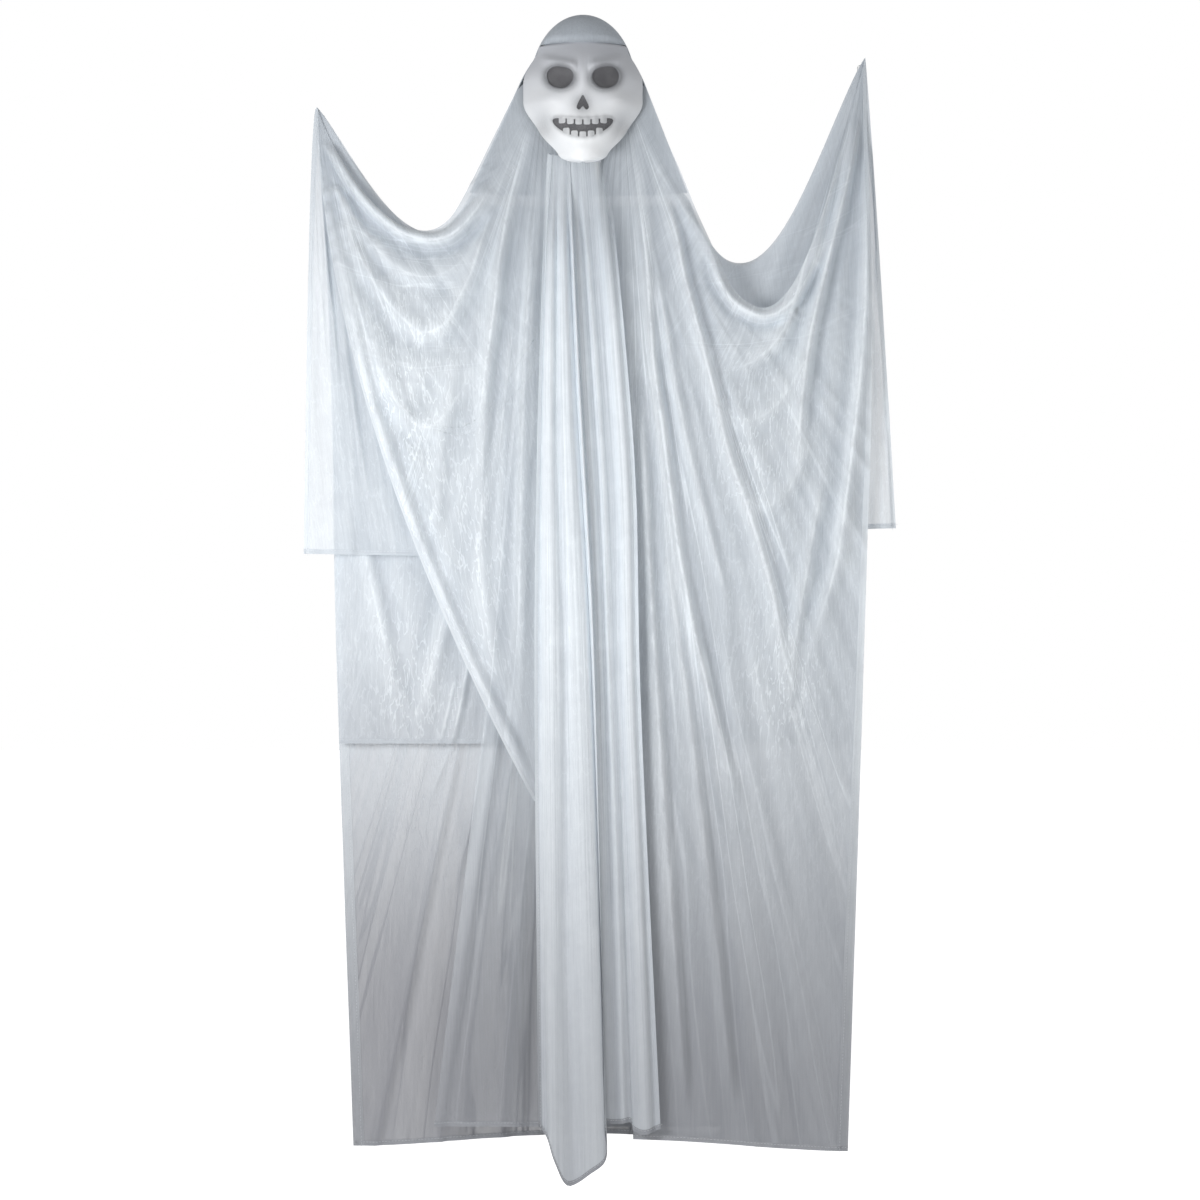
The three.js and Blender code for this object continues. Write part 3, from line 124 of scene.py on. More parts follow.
# %% A small language for nodes
class Value:
    """One output socket, on which arithmetic adds Math nodes."""

    def __init__(self, nodes, socket):
        self.nodes, self.socket = nodes, socket

    def maths(self, operation, *values):
        inputs = dict(enumerate(values))
        return self.nodes.add("ShaderNodeMath", {"operation": operation}, inputs)

    def __add__(self, other):
        return self.maths("ADD", self, other)

    def __sub__(self, other):
        return self.maths("SUBTRACT", self, other)

    def __rsub__(self, other):
        return self.maths("SUBTRACT", other, self)

    def __mul__(self, other):
        return self.maths("MULTIPLY", self, other)

    def __truediv__(self, other):
        return self.maths("DIVIDE", self, other)

    def size(self):
        """The value without its sign."""
        return self.maths("ABSOLUTE", self)

    def bell(self):
        """1 where the value is 0, and less to both sides."""
        return self.maths("EXPONENT", 0.0 - self * self)

    def clamped(self, low=0.0, high=1.0):
        return self.maths("MINIMUM", self.maths("MAXIMUM", self, low), high)

    __radd__ = __add__
    __rmul__ = __mul__


class Nodes:
    """A node tree that is filled by one method."""

    def __init__(self, tree):
        self.tree = tree

    def add(self, kind, settings=None, inputs=None, output=0):
        node = self.tree.nodes.new(kind)
        for name, setting in (settings or {}).items():
            setattr(node, name, setting)
        for name, value in (inputs or {}).items():
            if isinstance(value, Value):
                self.tree.links.new(value.socket, node.inputs[name])
            else:
                node.inputs[name].default_value = value
        return Value(self, node.outputs[output])

    def ramp(self, value, low, high, dark=0.0, bright=1.0):
        ranges = {"From Min": low, "From Max": high, "To Min": dark, "To Max": bright, "Value": value}
        return self.add("ShaderNodeMapRange", {"interpolation_type": "SMOOTHSTEP"}, ranges)

    def blend(self, share, first, second):
        colours = {"Factor": share, 6: first, 7: second}
        return self.add("ShaderNodeMix", {"data_type": "RGBA"}, colours, 2)

    def stretched(self, place, stretch):
        sizes = {0: place, 1: stretch}
        return self.add("ShaderNodeVectorMath", {"operation": "MULTIPLY"}, sizes)

    def noise(self, place, scale, detail=2.0, roughness=0.5):
        inputs = {"Vector": place, "Scale": scale, "Detail": detail, "Roughness": roughness}
        return self.add("ShaderNodeTexNoise", None, inputs)

    def bump(self, height, strength, distance):
        inputs = {"Height": height, "Strength": strength, "Distance": distance}
        return self.add("ShaderNodeBump", None, inputs)


def shader(name, fixed):
    """A material, its nodes and its shader, with the shader's constant inputs set."""
    material = bpy.data.materials.new(name)
    material.use_nodes = True
    surface = material.node_tree.nodes["Principled BSDF"]
    for socket, value in fixed.items():
        surface.inputs[socket].default_value = value
    return material, Nodes(material.node_tree), surface


def feed(nodes, surface, sockets):
    for name, value in sockets.items():
        nodes.tree.links.new(value.socket, surface.inputs[name])


def tint(red, green, blue):
    return (red, green, blue, 1.0)


# %% [markdown]
# ## A white room that doesn't overexpose
# A white ground could come from more light, but that would bleach the gauze. Light Path tells apart the rays
# that the camera sees, so the room and the floor are white there, and light the gauze at a plain level.

# %% The white room and floor
def seen_directly(nodes):
    """1 where the camera looks at a thing, also in a mirror or through glass."""
    rays = nodes.tree.nodes.new("ShaderNodeLightPath")
    kinds = [Value(nodes, rays.outputs[f"Is {kind} Ray"]) for kind in ("Camera", "Glossy", "Transmission")]
    return (kinds[0] + kinds[1] + kinds[2]).clamped()


ROOM_LIGHT = 0.34
FLOOR_GLOW = 0.75


def light_room():
    world = bpy.data.worlds.new("room")
    world.use_nodes = True
    scene.world = world
    nodes = Nodes(world.node_tree)
    background = world.node_tree.nodes["Background"]
    strength = ROOM_LIGHT + (1 - ROOM_LIGHT) * seen_directly(nodes)
    nodes.tree.links.new(strength.socket, background.inputs["Strength"])
    background.inputs["Color"].default_value = tint(1, 1, 1)


def make_floor():
    material, nodes, surface = shader("studio_floor", {
        "Base Color": tint(0.9, 0.9, 0.9), "Roughness": 0.9, "Emission Strength": FLOOR_GLOW})
    feed(nodes, surface, {"Emission Color": nodes.blend(seen_directly(nodes), tint(0, 0, 0), tint(1, 1, 1))})
    bpy.ops.mesh.primitive_plane_add(size=60, location=(0, 0, cad_box[0][2] - FLOOR_DROP))
    floor = bpy.context.object
    floor.name = "floor"
    floor.data.materials.append(material)


light_room()
make_floor()
print("room light", ROOM_LIGHT, "floor glow", FLOOR_GLOW)

# %% [markdown]
# ## The pattern of the cloth
# The head's crown is the tailor's zero, so the pattern is written in millimetres from there: x to the
# right, z up, y away from the viewer. `placed` turns a point of the pattern into the frame's metres. The
# crown and the head's axis come from the frame itself, so the cloth stays with the head.

# %% Sizes of the pattern
MM = 0.001
BOSS_FACE = 88.0                         # the head's boss stands this far behind its axis
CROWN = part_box("hood")[1][2]
HEAD_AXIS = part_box("head_form")[1][1] - BOSS_FACE * MM

HAND_LEFT = (-479.0, -166.0)
HAND_RIGHT = (508.0, -77.0)
SHOULDER_LEFT = (-193.0, -299.0)
SHOULDER_RIGHT = (193.0, -331.0)
BACK_SWAG_LEFT = (-272.0, -389.0)
BACK_SWAG_RIGHT = (285.0, -443.0)
FRONT_SWAG_LEFT = (-285.0, -391.0)
FRONT_SWAG_RIGHT = (325.0, -529.0)
JAW = ((98.0, -120.0), (97.0, -152.0), (88.0, -190.0), (58.0, -232.0), (39.0, -258.0), (35.0, -292.0))
RISE_LEFT = ((-252.0, -380.0), (-226.0, -351.0), (-190.0, -282.0), (-153.0, -206.0), (-118.0, -138.0))
RISE_RIGHT = ((276.0, -503.0), (244.0, -443.0), (222.0, -396.0), (200.0, -346.0), (176.0, -286.0),
              (146.0, -216.0), (115.0, -138.0))
HOOD_BROW = 57.0                         # the hood's front edge lies this far below the crown
NAPE = -182.0
ROBE_HEM = -2041.0
ROBE_HEM_LEFT, ROBE_HEM_RIGHT = -416.0, 475.0
ROBE_SIDE_LEFT = ((-455.0, -650.0), (-448.0, -1100.0))
ROBE_SIDE_RIGHT = ((518.0, -600.0), (507.0, -1053.0))
HEM_RISE = 22.0
INNER_HEM = -1312.0
INNER_TOP = -336.0
FRONT_ROBE_TOP = -297.0
FRONT_ROBE_HEM = -2000.0
FRONT_ROBE_HEM_LEFT, FRONT_ROBE_HEM_RIGHT = -268.0, 319.0
FRONT_ROBE_NECK = 58.0
CAPE_POINT = (-88.0, -1413.0)
CAPE_HEM_INNER = 90.0
SLEEVE_LEFT_HEM, SLEEVE_LEFT_OUT, SLEEVE_LEFT_IN = -970.0, -502.0, -250.0
SLEEVE_RIGHT_HEM, SLEEVE_RIGHT_OUT, SLEEVE_RIGHT_IN = -924.0, 563.0, 400.0
PANEL_TOP = -256.0
PANEL_LEFT_SIDE = ((-66.0, -300.0), (-82.0, -800.0), (-86.0, -1250.0), (-79.0, -1990.0))
PANEL_MIDDLE = ((-22.0, -300.0), (-6.0, -640.0), (20.0, -1150.0), (40.0, -1988.0))
PANEL_MIDDLE_BACK = ((-30.0, -300.0), (-14.0, -640.0), (12.0, -1150.0), (32.0, -1986.0))
PANEL_RIGHT_SIDE = ((48.0, -300.0), (92.0, -800.0), (104.0, -1250.0), (139.0, -1998.0))
TAIL_HEM = ((-64.0, -2012.0), (-50.0, -2055.0), (-26.0, -2097.0), (14.0, -2075.0), (42.0, -2048.0))
SIDE_HEM = ((60.0, -1990.0), (85.0, -1987.0), (91.0, -2002.0), (112.0, -2008.0))

# Each layer's order at the hands, the depth where it hangs, and how far its folds stand forward and back
LAYERS = {
    "cape": (0, -31.0, 24.0, 11.0),
    "sleeve": (1, -6.0, 7.0, 8.0),
    "inner": (2, 18.0, 9.0, 11.0),
    "back": (3, 46.0, 11.0, 16.0),
    "side_panel": (0, -57.0, 8.0, 7.0),
    "tail_panel": (0, -80.0, 10.0, 10.0),
    "front_robe": (0, -6.0, 7.0, 7.0),
}
PINCH_FLAT, PINCH_REACH = 75.0, 330.0
TIP_FRONT, LAYER_STEP = -3.0, 1.7
SHOULDER_DEPTH = -14.0
NECK_REACH = 190.0
ROBE_REST, ROBE_FALL, ROBE_SOFTNESS = 2.2, 260.0, 10.0


def placed(x, y, z):
    """Points of the pattern in millimetres, as rows of metres in the frame."""
    x, y, z = np.broadcast_arrays(x, y, z)
    return np.stack([x * MM, y * MM + HEAD_AXIS, z * MM + CROWN], axis=-1)


print("crown", round(CROWN, 4), "head axis", round(HEAD_AXIS, 4))

# %% [markdown]
# ## From four edges to a sheet
# A length of cloth has four edges, and each is a curve that a maker can name: a swag, a side, a hem. A
# Coons patch fills the space between four such curves, so the threads of the cloth run smoothly from edge
# to edge. The same rule lays out the plain solids that this model is checked with.

# %% Curves and the patch between them
def ease(value, start, end):
    share = np.clip((value - start) / (end - start), 0, 1)
    return share * share * (3 - 2 * share)


def mix(first, second, share):
    return first + (second - first) * share


def between(start, end):
    return lambda t: np.stack([mix(start[0], end[0], t), mix(start[1], end[1], t)])


def smooth_line(points, count=240, closed=False):
    """Points evenly spaced along a smooth curve through the given ones."""
    p = np.array(points, float)
    if closed:
        p = np.vstack([p[-1:], p, p[:2]])
    else:
        p = np.vstack([2 * p[:1] - p[1:2], p, 2 * p[-1:] - p[-2:-1]])
    t = np.linspace(0, 1, 40, endpoint=False)[:, None]
    pieces = []
    for a, b, c, d in zip(p, p[1:], p[2:], p[3:]):
        pieces.append(b + 0.5 * t * (c - a + t * (2 * a - 5 * b + 4 * c - d + t * (3 * b - a - 3 * c + d))))
    line = np.vstack([*pieces, p[-2:-1]])
    run = np.concatenate([[0], np.cumsum(np.linalg.norm(np.diff(line, axis=0), axis=1))])
    places = np.linspace(0, run[-1], count, endpoint=not closed)
    return np.stack([np.interp(places, run, line[:, k]) for k in range(line.shape[1])], axis=1)


def spline(points):
    line = smooth_line(points)
    stops = np.linspace(0, 1, len(line))
    return lambda t: np.stack([np.interp(t, stops, line[:, 0]), np.interp(t, stops, line[:, 1])])


def patch(top, bottom, left, right):
    """Places between four edges, for shares u across and v down."""
    zero, one = np.array(0.0), np.array(1.0)

    def place(u, v):
        flat = (1 - v) * top(u) + v * bottom(u) + (1 - u) * left(v) + u * right(v)
        corners = [edge(end).reshape(2, *[1] * u.ndim) for edge in (top, bottom) for end in (zero, one)]
        return (flat - (1 - u) * (1 - v) * corners[0] - u * (1 - v) * corners[1]
                - (1 - u) * v * corners[2] - u * v * corners[3])
    return place


def swag(x, hand, low, shoulder, near_hand, near_shoulder):
    """Height of the top edge between a hand and a shoulder."""
    outside = (x - low[0]) / (hand[0] - low[0])
    drop = np.sin(np.pi / 2 * np.clip(1 - outside, 0, 1)) ** near_hand
    inside = np.clip((x - low[0]) / (shoulder[0] - low[0]), 0, 1) ** near_shoulder
    return np.where(outside >= 0, mix(hand[1], low[1], drop), mix(low[1], shoulder[1], inside))


# %% [markdown]
# ## Folds
# Hanging gauze folds in three ways. Folds run along a line, such as the rolled edge of a swag. Fine pleats
# fan out from a point that gathers the cloth, such as a hand. Between two such points the cloth sags in
# nested curves, whose two ends lead to the points: the sum of the distances to both points is the same
# all along such a curve. Each way is a function of the place, so a fold runs across the whole sheet.

# %% Noise with a fixed seed
class Ripple:
    """Smooth random heights between -1 and 1 over a plane, the same on each run."""

    def __init__(self, seed, size=64):
        self.size = size
        self.table = np.random.default_rng(seed).uniform(-1, 1, (size, size))

    def __call__(self, x, y):
        x, y = np.broadcast_arrays(np.asarray(x, float), np.asarray(y, float))
        column, row = np.floor(x).astype(int), np.floor(y).astype(int)
        across, down = ease(x - column, 0, 1), ease(y - row, 0, 1)
        corner = [self.table[(column + i) % self.size, (row + j) % self.size] for i in (0, 1) for j in (0, 1)]
        return mix(mix(corner[0], corner[2], across), mix(corner[1], corner[3], across), down)


def layered(ripple, x, y, layers=3):
    height = 0
    for k in range(layers):
        height = height + ripple(x * 2.0 ** k + 7.3 * k, y * 2.0 ** k + 3.1 * k) / 1.8 ** k
    return height / 1.6


# %% Three kinds of fold
def follow(x, z, points):
    """For each place, how far along a smooth line it lies, from 0 to 1, and how far to the line's right."""
    line = smooth_line(points, 48)
    steps = np.linspace(0, 1, len(line))
    best = np.full(x.shape, 1e9)
    along, aside = np.zeros(x.shape), np.zeros(x.shape)
    for (ax, az), (bx, bz), start, end in zip(line, line[1:], steps, steps[1:]):
        dx, dz = bx - ax, bz - az
        share = np.clip(((x - ax) * dx + (z - az) * dz) / (dx * dx + dz * dz), 0, 1)
        px, pz = x - ax - share * dx, z - az - share * dz
        gap = np.hypot(px, pz)
        closer = gap < best
        best = np.where(closer, gap, best)
        along = np.where(closer, mix(start, end, share), along)
        aside = np.where(closer, np.sign(dx * pz - dz * px) * gap, aside)
    return along, aside


def folds_along(x, z, folds):
    """The rise of folds along lines, and the crease of the nearest one: how far aside it is, and how keen.

    A fold is its line, its widths at both ends, its rise, its lean, where it fades in and out, and how
    square it is. A valley lies on its right if the lean is above 0, and on its left below 0. High folds
    have a keen crest, which shows as a bright line."""
    rise = np.zeros(x.shape)
    crease, keen = np.full(x.shape, 1e3), np.zeros(x.shape)
    for points, widths, height, lean, *more in folds:
        ends = more[0] if more else (0.12, 0.7)
        along, aside = follow(x, z, points)
        width = mix(widths[0], widths[1], along)
        crest = np.exp(-np.abs(aside / width) ** (more[1] if len(more) > 1 else 2))
        valley = np.exp(-((aside - lean * 1.5 * width) / width) ** 2)
        fade = ease(along, 0, ends[0]) * (1 - ease(along, ends[1], 1))
        rise += height * fade * (crest - abs(lean) * 0.7 * valley)
        # keen is how strongly the gauze paints a bright line along the crest, a painted highlight
        sharp = more[2] if len(more) > 2 else np.clip((height - 9) / 10, 0, 1)
        closer = np.abs(aside) < np.abs(crease)
        crease = np.where(closer, aside, crease)
        keen = np.where(closer, ease(along, 0, 0.2) * (1 - ease(along, 0.75, 1)) * sharp, keen)
    return rise, {"crease": crease, "keen": keen}


def straight_below(x, z, point, start, end):
    """1 below a point, and less towards its sides: start and end are angles in degrees."""
    return 1 - ease(np.degrees(np.arctan2(np.abs(x - point[0]), point[1] - z)), start, end)


def fans_and_sags(x, z, hand, neck, sag_reach):
    """Where a place lies among the fine creases: (across, along, strength) for each of three kinds."""
    far_hand, far_neck = np.hypot(x - hand[0], z - hand[1]), np.hypot(x - neck[0], z - neck[1])
    span = math.dist(hand, neck)
    level = np.sqrt(np.maximum((far_hand + far_neck) ** 2 - span ** 2, 0))
    near_hand = (1 - ease(far_hand, 200, 800)) * straight_below(x, z, hand, 36, 58)
    sag = (ease(far_hand, 120, 300) * ease(far_neck, 160, 300) * (1 - ease(level, sag_reach * 0.6, sag_reach))
           * ease(np.abs(x), 150, 240))
    gather = (neck[0], neck[1] + 110)
    near_neck = (1 - near_hand) * (1 - 0.7 * sag) * straight_below(x, z, gather, 24, 40)
    return {
        "hand_fan": (np.arctan2(z - hand[1], x - hand[0]), far_hand * MM, near_hand),
        "neck_fan": (np.arctan2(z - gather[1], x - gather[0]), far_neck * MM, near_neck),
        "sag": (level * MM, (far_hand - far_neck) * MM, sag),
    }


def pleats_from(x, z, point, count, reach, seed, keen=False, wander=0.5):
    """Pleats that fan out from a point, count of them in a full turn, and die out at reach. Keen ones have
    sharp crests and round hollows."""
    ripple = Ripple(seed)
    turn = np.arctan2(z - point[1], x - point[0])
    far = np.hypot(x - point[0], z - point[1])
    bend = wander * ripple(far / 260 + 5, turn * 2)
    pattern = layered(ripple, turn * count / (2 * np.pi) + bend, far / 900, 2)
    if keen:
        pattern = 0.6 - 2 * np.abs(pattern)
    return pattern * ease(far, 10, 110) * (1 - ease(far, reach * 0.35, reach))


def sag_between(x, z, first, second, spacing, reach, seed):
    """Nested sagging folds between two gathered points."""
    ripple = Ripple(seed)
    span = math.dist(first, second)
    near, far = np.hypot(x - first[0], z - first[1]), np.hypot(x - second[0], z - second[1])
    level = np.sqrt(np.maximum((near + far) ** 2 - span ** 2, 0))
    drift = 0.6 * ripple(near / 210, far / 210)
    pattern = layered(ripple, level / spacing + drift, (near - far) / 700, 2)
    return pattern * (1 - ease(level, reach * 0.5, reach))


def around(x, z, centre, size):
    """1 at a place, and less away from it."""
    return np.exp(-((x - centre[0]) / size[0]) ** 2 - ((z - centre[1]) / size[1]) ** 2)


def crumple(x, z, centre, size, grain, seed):
    """Small sharp creases around a place."""
    fine = 1 - 2 * np.abs(layered(Ripple(seed), x / grain + 0.25 * z / grain, z / (grain * 1.7), 2))
    return around(x, z, centre, size) * fine


# %% [markdown]
# ## Layers that never cross
# The lengths hang one behind the other, and each has its own depth and room for its folds. A simulation would
# need a collision for each pair. Here each fold is bent smoothly so that it stays in its layer's room, and at
# the points of the hands all layers are pressed flat on each other, as a hand would hold them.

# %% Depth of each layer
def apart(x, z):
    """0 at the points of the hands, where all layers are pressed flat, and 1 where they hang free."""
    left = np.hypot(x - HAND_LEFT[0], z - HAND_LEFT[1])
    right = np.hypot(x - HAND_RIGHT[0], z - HAND_RIGHT[1])
    return ease(left, PINCH_FLAT, PINCH_REACH) * ease(right, PINCH_FLAT, PINCH_REACH)


def limited(rise, forward, back):
    """A fold's rise, bent smoothly so that it stays between the layers in front and behind."""
    return np.where(rise > 0, forward * np.tanh(rise / forward), back * np.tanh(rise / back))


def hand_depth(layer, rise, x, z):
    order, depth, forward, back = LAYERS[layer]
    return mix(TIP_FRONT + order * LAYER_STEP, depth - limited(rise, forward, back), apart(x, z))


def cape_depth(layer, rise, x, z):
    """The front cloth folds freely, apart from where the middle panels hang before it."""
    _, depth, forward, back = LAYERS[layer]
    beside_panels = np.maximum(ease(-x, 95, 170), ease(x, 150, 225))
    room = mix(11.0, forward, beside_panels)
    rise = limited(rise, room, back)
    near_hand = np.minimum(np.hypot(x - HAND_LEFT[0], z - HAND_LEFT[1]),
                           np.hypot(x - HAND_RIGHT[0], z - HAND_RIGHT[1]))
    in_front = np.maximum(rise, 0) * ease(near_hand, 12, 120)
    share = apart(x, z)
    hang = mix(TIP_FRONT, depth, share) - in_front - np.minimum(rise, 0) * share
    from_head = np.hypot(x, (z + 200) * 0.8)
    return mix(SHOULDER_DEPTH, hang, ease(from_head, 120, 260))


def panel_depth(gather):
    def depth(layer, rise, x, z):
        _, hang, forward, back = LAYERS[layer]
        free = ease(-z, -PANEL_TOP + 24, -PANEL_TOP + NECK_REACH)
        return mix(gather, hang - limited(rise, forward, back), free)
    return depth


# %% [markdown]
# ## A sheet as a mesh
# The grid keeps where each point lies on the flat cloth as its UV map, in metres, so that a weave follows
# the cloth and not the room. Folded cloth shows more thread to the viewer than flat cloth, and so looks
# denser and whiter. That is a property of the drape, so it is kept at each point, as the attribute
# `gather`: the slope of the sheet there. A second one, `crest`, says how far a fold stands out: the gauze
# paints the crests lighter, a painted highlight, and the hollows greyer, a painted shade of the folds.

# %% Build a sheet
def cloth_object(name, points, across, down, marks):
    """A grid of points, rows by columns, as a mesh with a UV map and the named marks at its points."""
    rows, columns = points.shape[:2]
    index = np.arange(rows * columns).reshape(rows, columns)
    faces = np.stack([index[:-1, :-1], index[1:, :-1], index[1:, 1:], index[:-1, 1:]], axis=-1).reshape(-1, 4)
    mesh = bpy.data.meshes.new(name)
    mesh.from_pydata(points.reshape(-1, 3).tolist(), [], faces.tolist())
    corners = faces.reshape(-1)
    uv = mesh.uv_layers.new(name="cloth")
    uv.data.foreach_set("uv", np.stack([across.ravel()[corners], down.ravel()[corners]], 1).ravel())
    for mark, values in marks.items():
        if isinstance(values, tuple):
            attribute = mesh.attributes.new(mark, "FLOAT_VECTOR", "POINT")
            attribute.data.foreach_set("vector", np.stack(values, -1).ravel().astype(np.float32))
        else:
            attribute = mesh.attributes.new(mark, "FLOAT", "POINT")
            attribute.data.foreach_set("value", values.ravel().astype(np.float32))
    mesh.shade_smooth()
    piece = bpy.data.objects.new(name, mesh)
    bpy.context.collection.objects.link(piece)
    return piece


def slope_of(points):
    """How steeply a grid of points leans away from the front view, as the thread that shows there."""
    right = np.gradient(points, axis=1)
    down = np.gradient(points, axis=0)
    normal = np.cross(down, right)
    length = np.linalg.norm(normal, axis=-1)
    return np.clip(length / np.maximum(np.abs(normal[..., 1]), 0.3 * length), 1, 3)


def sheet(name, edges, layer, depth, folds, spacing=5.0):
    """A hanging sheet: its outline from edges, its depth from the layer and its folds."""
    place = patch(**edges)
    ends = [place(np.array([a, b]), np.array([c, d])) for a, b, c, d in
            ((0, 1, 1, 1), (0.5, 0.5, 0, 1), (0.05, 0.05, 0, 1), (0.95, 0.95, 0, 1), (0, 1, 0.5, 0.5))]
    lengths = [math.dist(p[:, 0], p[:, 1]) for p in ends]
    columns = int(max(lengths[0], lengths[4]) / spacing)
    rows = int(max(lengths[1:4]) / spacing)
    v, u = np.meshgrid(np.linspace(0, 1, rows + 1), np.linspace(0, 1, columns + 1), indexing="ij")
    x, z = place(u, v)
    rise, marks = folds(x, z, u, v)
    y = depth(layer, rise, x, z)
    points = placed(x, y, z)
    across = np.concatenate([np.zeros((rows + 1, 1)),
                             np.cumsum(np.linalg.norm(np.diff(points, axis=1), axis=-1), axis=1)], axis=1)
    down = np.concatenate([np.zeros((1, columns + 1)),
                           np.cumsum(np.linalg.norm(np.diff(points, axis=0), axis=-1), axis=0)], axis=0)
    # crest carries the painted highlight on fold crests and the painted shade in their hollows
    marks = {**marks, "gather": slope_of(points), "crest": np.tanh(rise / 12)}
    piece = cloth_object(name, points, across - across.mean(axis=1, keepdims=True), down, marks)
    grids[name] = points
    print(name, "grid", rows, "x", columns)
    return piece


grids = {}

# %% [markdown]
# ## Gauze
# The gauze is a loose plain weave of thin white yarn, a little blue in the light. One layer hides about
# three quarters of what is behind it. Its yarn shows as fine streaks, and its finest creases run with the
# folds, so they are lines of a noise that is stretched along each fan and sag. The creases and crumpled
# places are painted lighter as painted highlights, with painted shade beside them. All of that is in the
# colour, the alpha and the bump, on the sheet's own UV map in metres. The hem hangs lower, where less lamp
# light reaches, and is painted greyer there as painted shade; so is the top near the head.

# %% The gauze material
GAUZE_LIGHT = tint(0.9, 0.955, 1.0)
GAUZE_SHADE = tint(0.47, 0.52, 0.585)
# The next colour is the painted shade that the hem is blended towards.
GAUZE_HEM_SHADE = tint(0.27, 0.275, 0.3)
# The line along a main fold's crest is a painted highlight.
CREASE_WIDTH = 2.4                       # millimetres, of the line along a main fold's crest


def threads(nodes, mark, across, along, seed, thin=0.03):
    """Fine creases that follow the folds of one kind: a thin line wherever a stretched noise is a half."""
    value = nodes.add("ShaderNodeAttribute", {"attribute_name": mark}, None, 1)
    parts = nodes.tree.nodes.new("ShaderNodeSeparateXYZ")
    nodes.tree.links.new(value.socket, parts.inputs[0])
    x, y, strength = (Value(nodes, socket) for socket in parts.outputs)
    place = nodes.add("ShaderNodeCombineXYZ", None, {0: x * across, 1: y * along, 2: seed})
    grain = nodes.noise(place, 1.0, 2.0, 0.55)
    some = nodes.ramp(nodes.noise(place, 0.37, 1.0), 0.42, 0.68)
    line = nodes.ramp((grain - 0.5).size(), 0.0, thin, 1.0, 0.0) * some
    return strength * line, strength * (grain - 0.5)


def gauze(name, cover, tone, seed, hem_shade=0.85, dark_from=-2.0, sewn=False):
    """cover is the share of the background that one flat layer hides, and tone how light it is. The hem
    takes on hem_shade of its grey, in full at the height dark_from. Sewn gauze has no flat layout, so it
    keeps to the object's own axes."""
    material, nodes, surface = shader(name, {"Roughness": 0.85, "Sheen Weight": 0.12, "Sheen Roughness": 0.5})
    where = nodes.add("ShaderNodeTexCoord", None, None, 3)
    height = nodes.add("ShaderNodeSeparateXYZ", None, {0: where}, 2)
    place = where if sewn else nodes.add("ShaderNodeUVMap", {"uv_map": "cloth"})

    def mark(attribute):
        return nodes.add("ShaderNodeAttribute", {"attribute_name": attribute}, None, 2)

    def thread_noise(across, along, detail, roughness=0.5):
        sizes = (across, across, along) if sewn else (across, along, 1.0)
        return nodes.noise(nodes.stretched(place, sizes), 1.0, detail, roughness)

    streaks = thread_noise(240.0, 9.0, 3.0, 0.65)
    weave = thread_noise(1100.0, 800.0, 1.0)
    clouds = nodes.noise(place, 18.0, 5.0, 0.7)
    crinkle = thread_noise(75.0, 17.0, 2.0, 0.55)
    flecks = nodes.ramp((crinkle - 0.5).size(), 0.0, 0.035, 1.0, 0.0) * mark("crinkle")
    hand_lines, hand_grain = threads(nodes, "hand_fan", 20.0, 1.8, seed)
    neck_lines, neck_grain = threads(nodes, "neck_fan", 30.0, 0.8, seed + 3.0)
    sag_lines, sag_grain = threads(nodes, "sag", 22.0, 3.5, seed + 6.0)
    crease = mark("keen") * (mark("crease") / CREASE_WIDTH).bell()
    broken = nodes.ramp(clouds, 0.4, 0.58, 0.35, 1.0)
    # Painted highlights: the crease lines and flecks lighten the colour; they also make the alpha denser and
    # raise the bump, which is real.
    lines = (0.6 * hand_lines + 0.6 * neck_lines + 0.35 * sag_lines + 1.0 * crease * broken
             + 0.55 * flecks).clamped()
    grain = hand_grain + neck_grain + 0.35 * sag_grain
    dense = nodes.ramp(mark("gather"), 1.0, 1.8)
    # lit holds the yarn's own random tone, plus painted highlights on crests, creases and crumpled places,
    # and painted shade beside them and in hollows.
    lit = (tone + 0.22 * mark("crest") + 0.12 * mark("crinkle") + 0.15 * dense + 0.5 * grain
           + 0.3 * (streaks - 0.5) + 0.5 * (clouds - 0.5) + 0.2 * (weave - 0.5) + 0.4 * lines).clamped()
    colour = nodes.blend(lit, GAUZE_SHADE, GAUZE_LIGHT)
    # Painted shade: the gauze is blended towards its shade colour near the top, by the head, where less lamp
    # light falls.
    high = nodes.ramp(height, -0.62, -0.16, 0.0, 0.35)
    colour = nodes.blend(high, colour, GAUZE_SHADE)
    # Painted shade: the gauze turns greyer towards the hem, in full at dark_from.
    low = nodes.ramp(height, dark_from, -0.9, 1.0, 0.0)
    colour = nodes.blend(low * hem_shade, colour, GAUZE_HEM_SHADE)
    alpha = (cover + 0.15 * dense + 0.06 * mark("crest") + 0.3 * grain + 0.16 * (streaks - 0.5)
             + 0.14 * (weave - 0.5) + 0.25 * lines + 0.12 * low).clamped(0.3, 0.99) * (1.0 - mark("thin"))
    creases = 0.5 * streaks + 0.6 * clouds + 0.25 * weave + 1.2 * grain + 0.7 * lines
    feed(nodes, surface, {"Base Color": colour, "Alpha": alpha, "Normal": nodes.bump(creases, 0.5, 0.0015)})
    return material


front_gauze = gauze("gauze", 0.7, 0.55, 1.0)
thin_gauze = gauze("thin_gauze", 0.42, 0.5, 11.0)
# This darker copy of the gauze is painted shade of the back layers, which hang behind the others; its hem is
# painted darker too.
back_gauze_painted_shade = gauze("back_gauze_painted_shade", 0.78, 0.48, 21.0, 1.0, -1.8)
gathered_gauze = gauze("gathered_gauze", 0.88, 0.62, 31.0, 0.6)
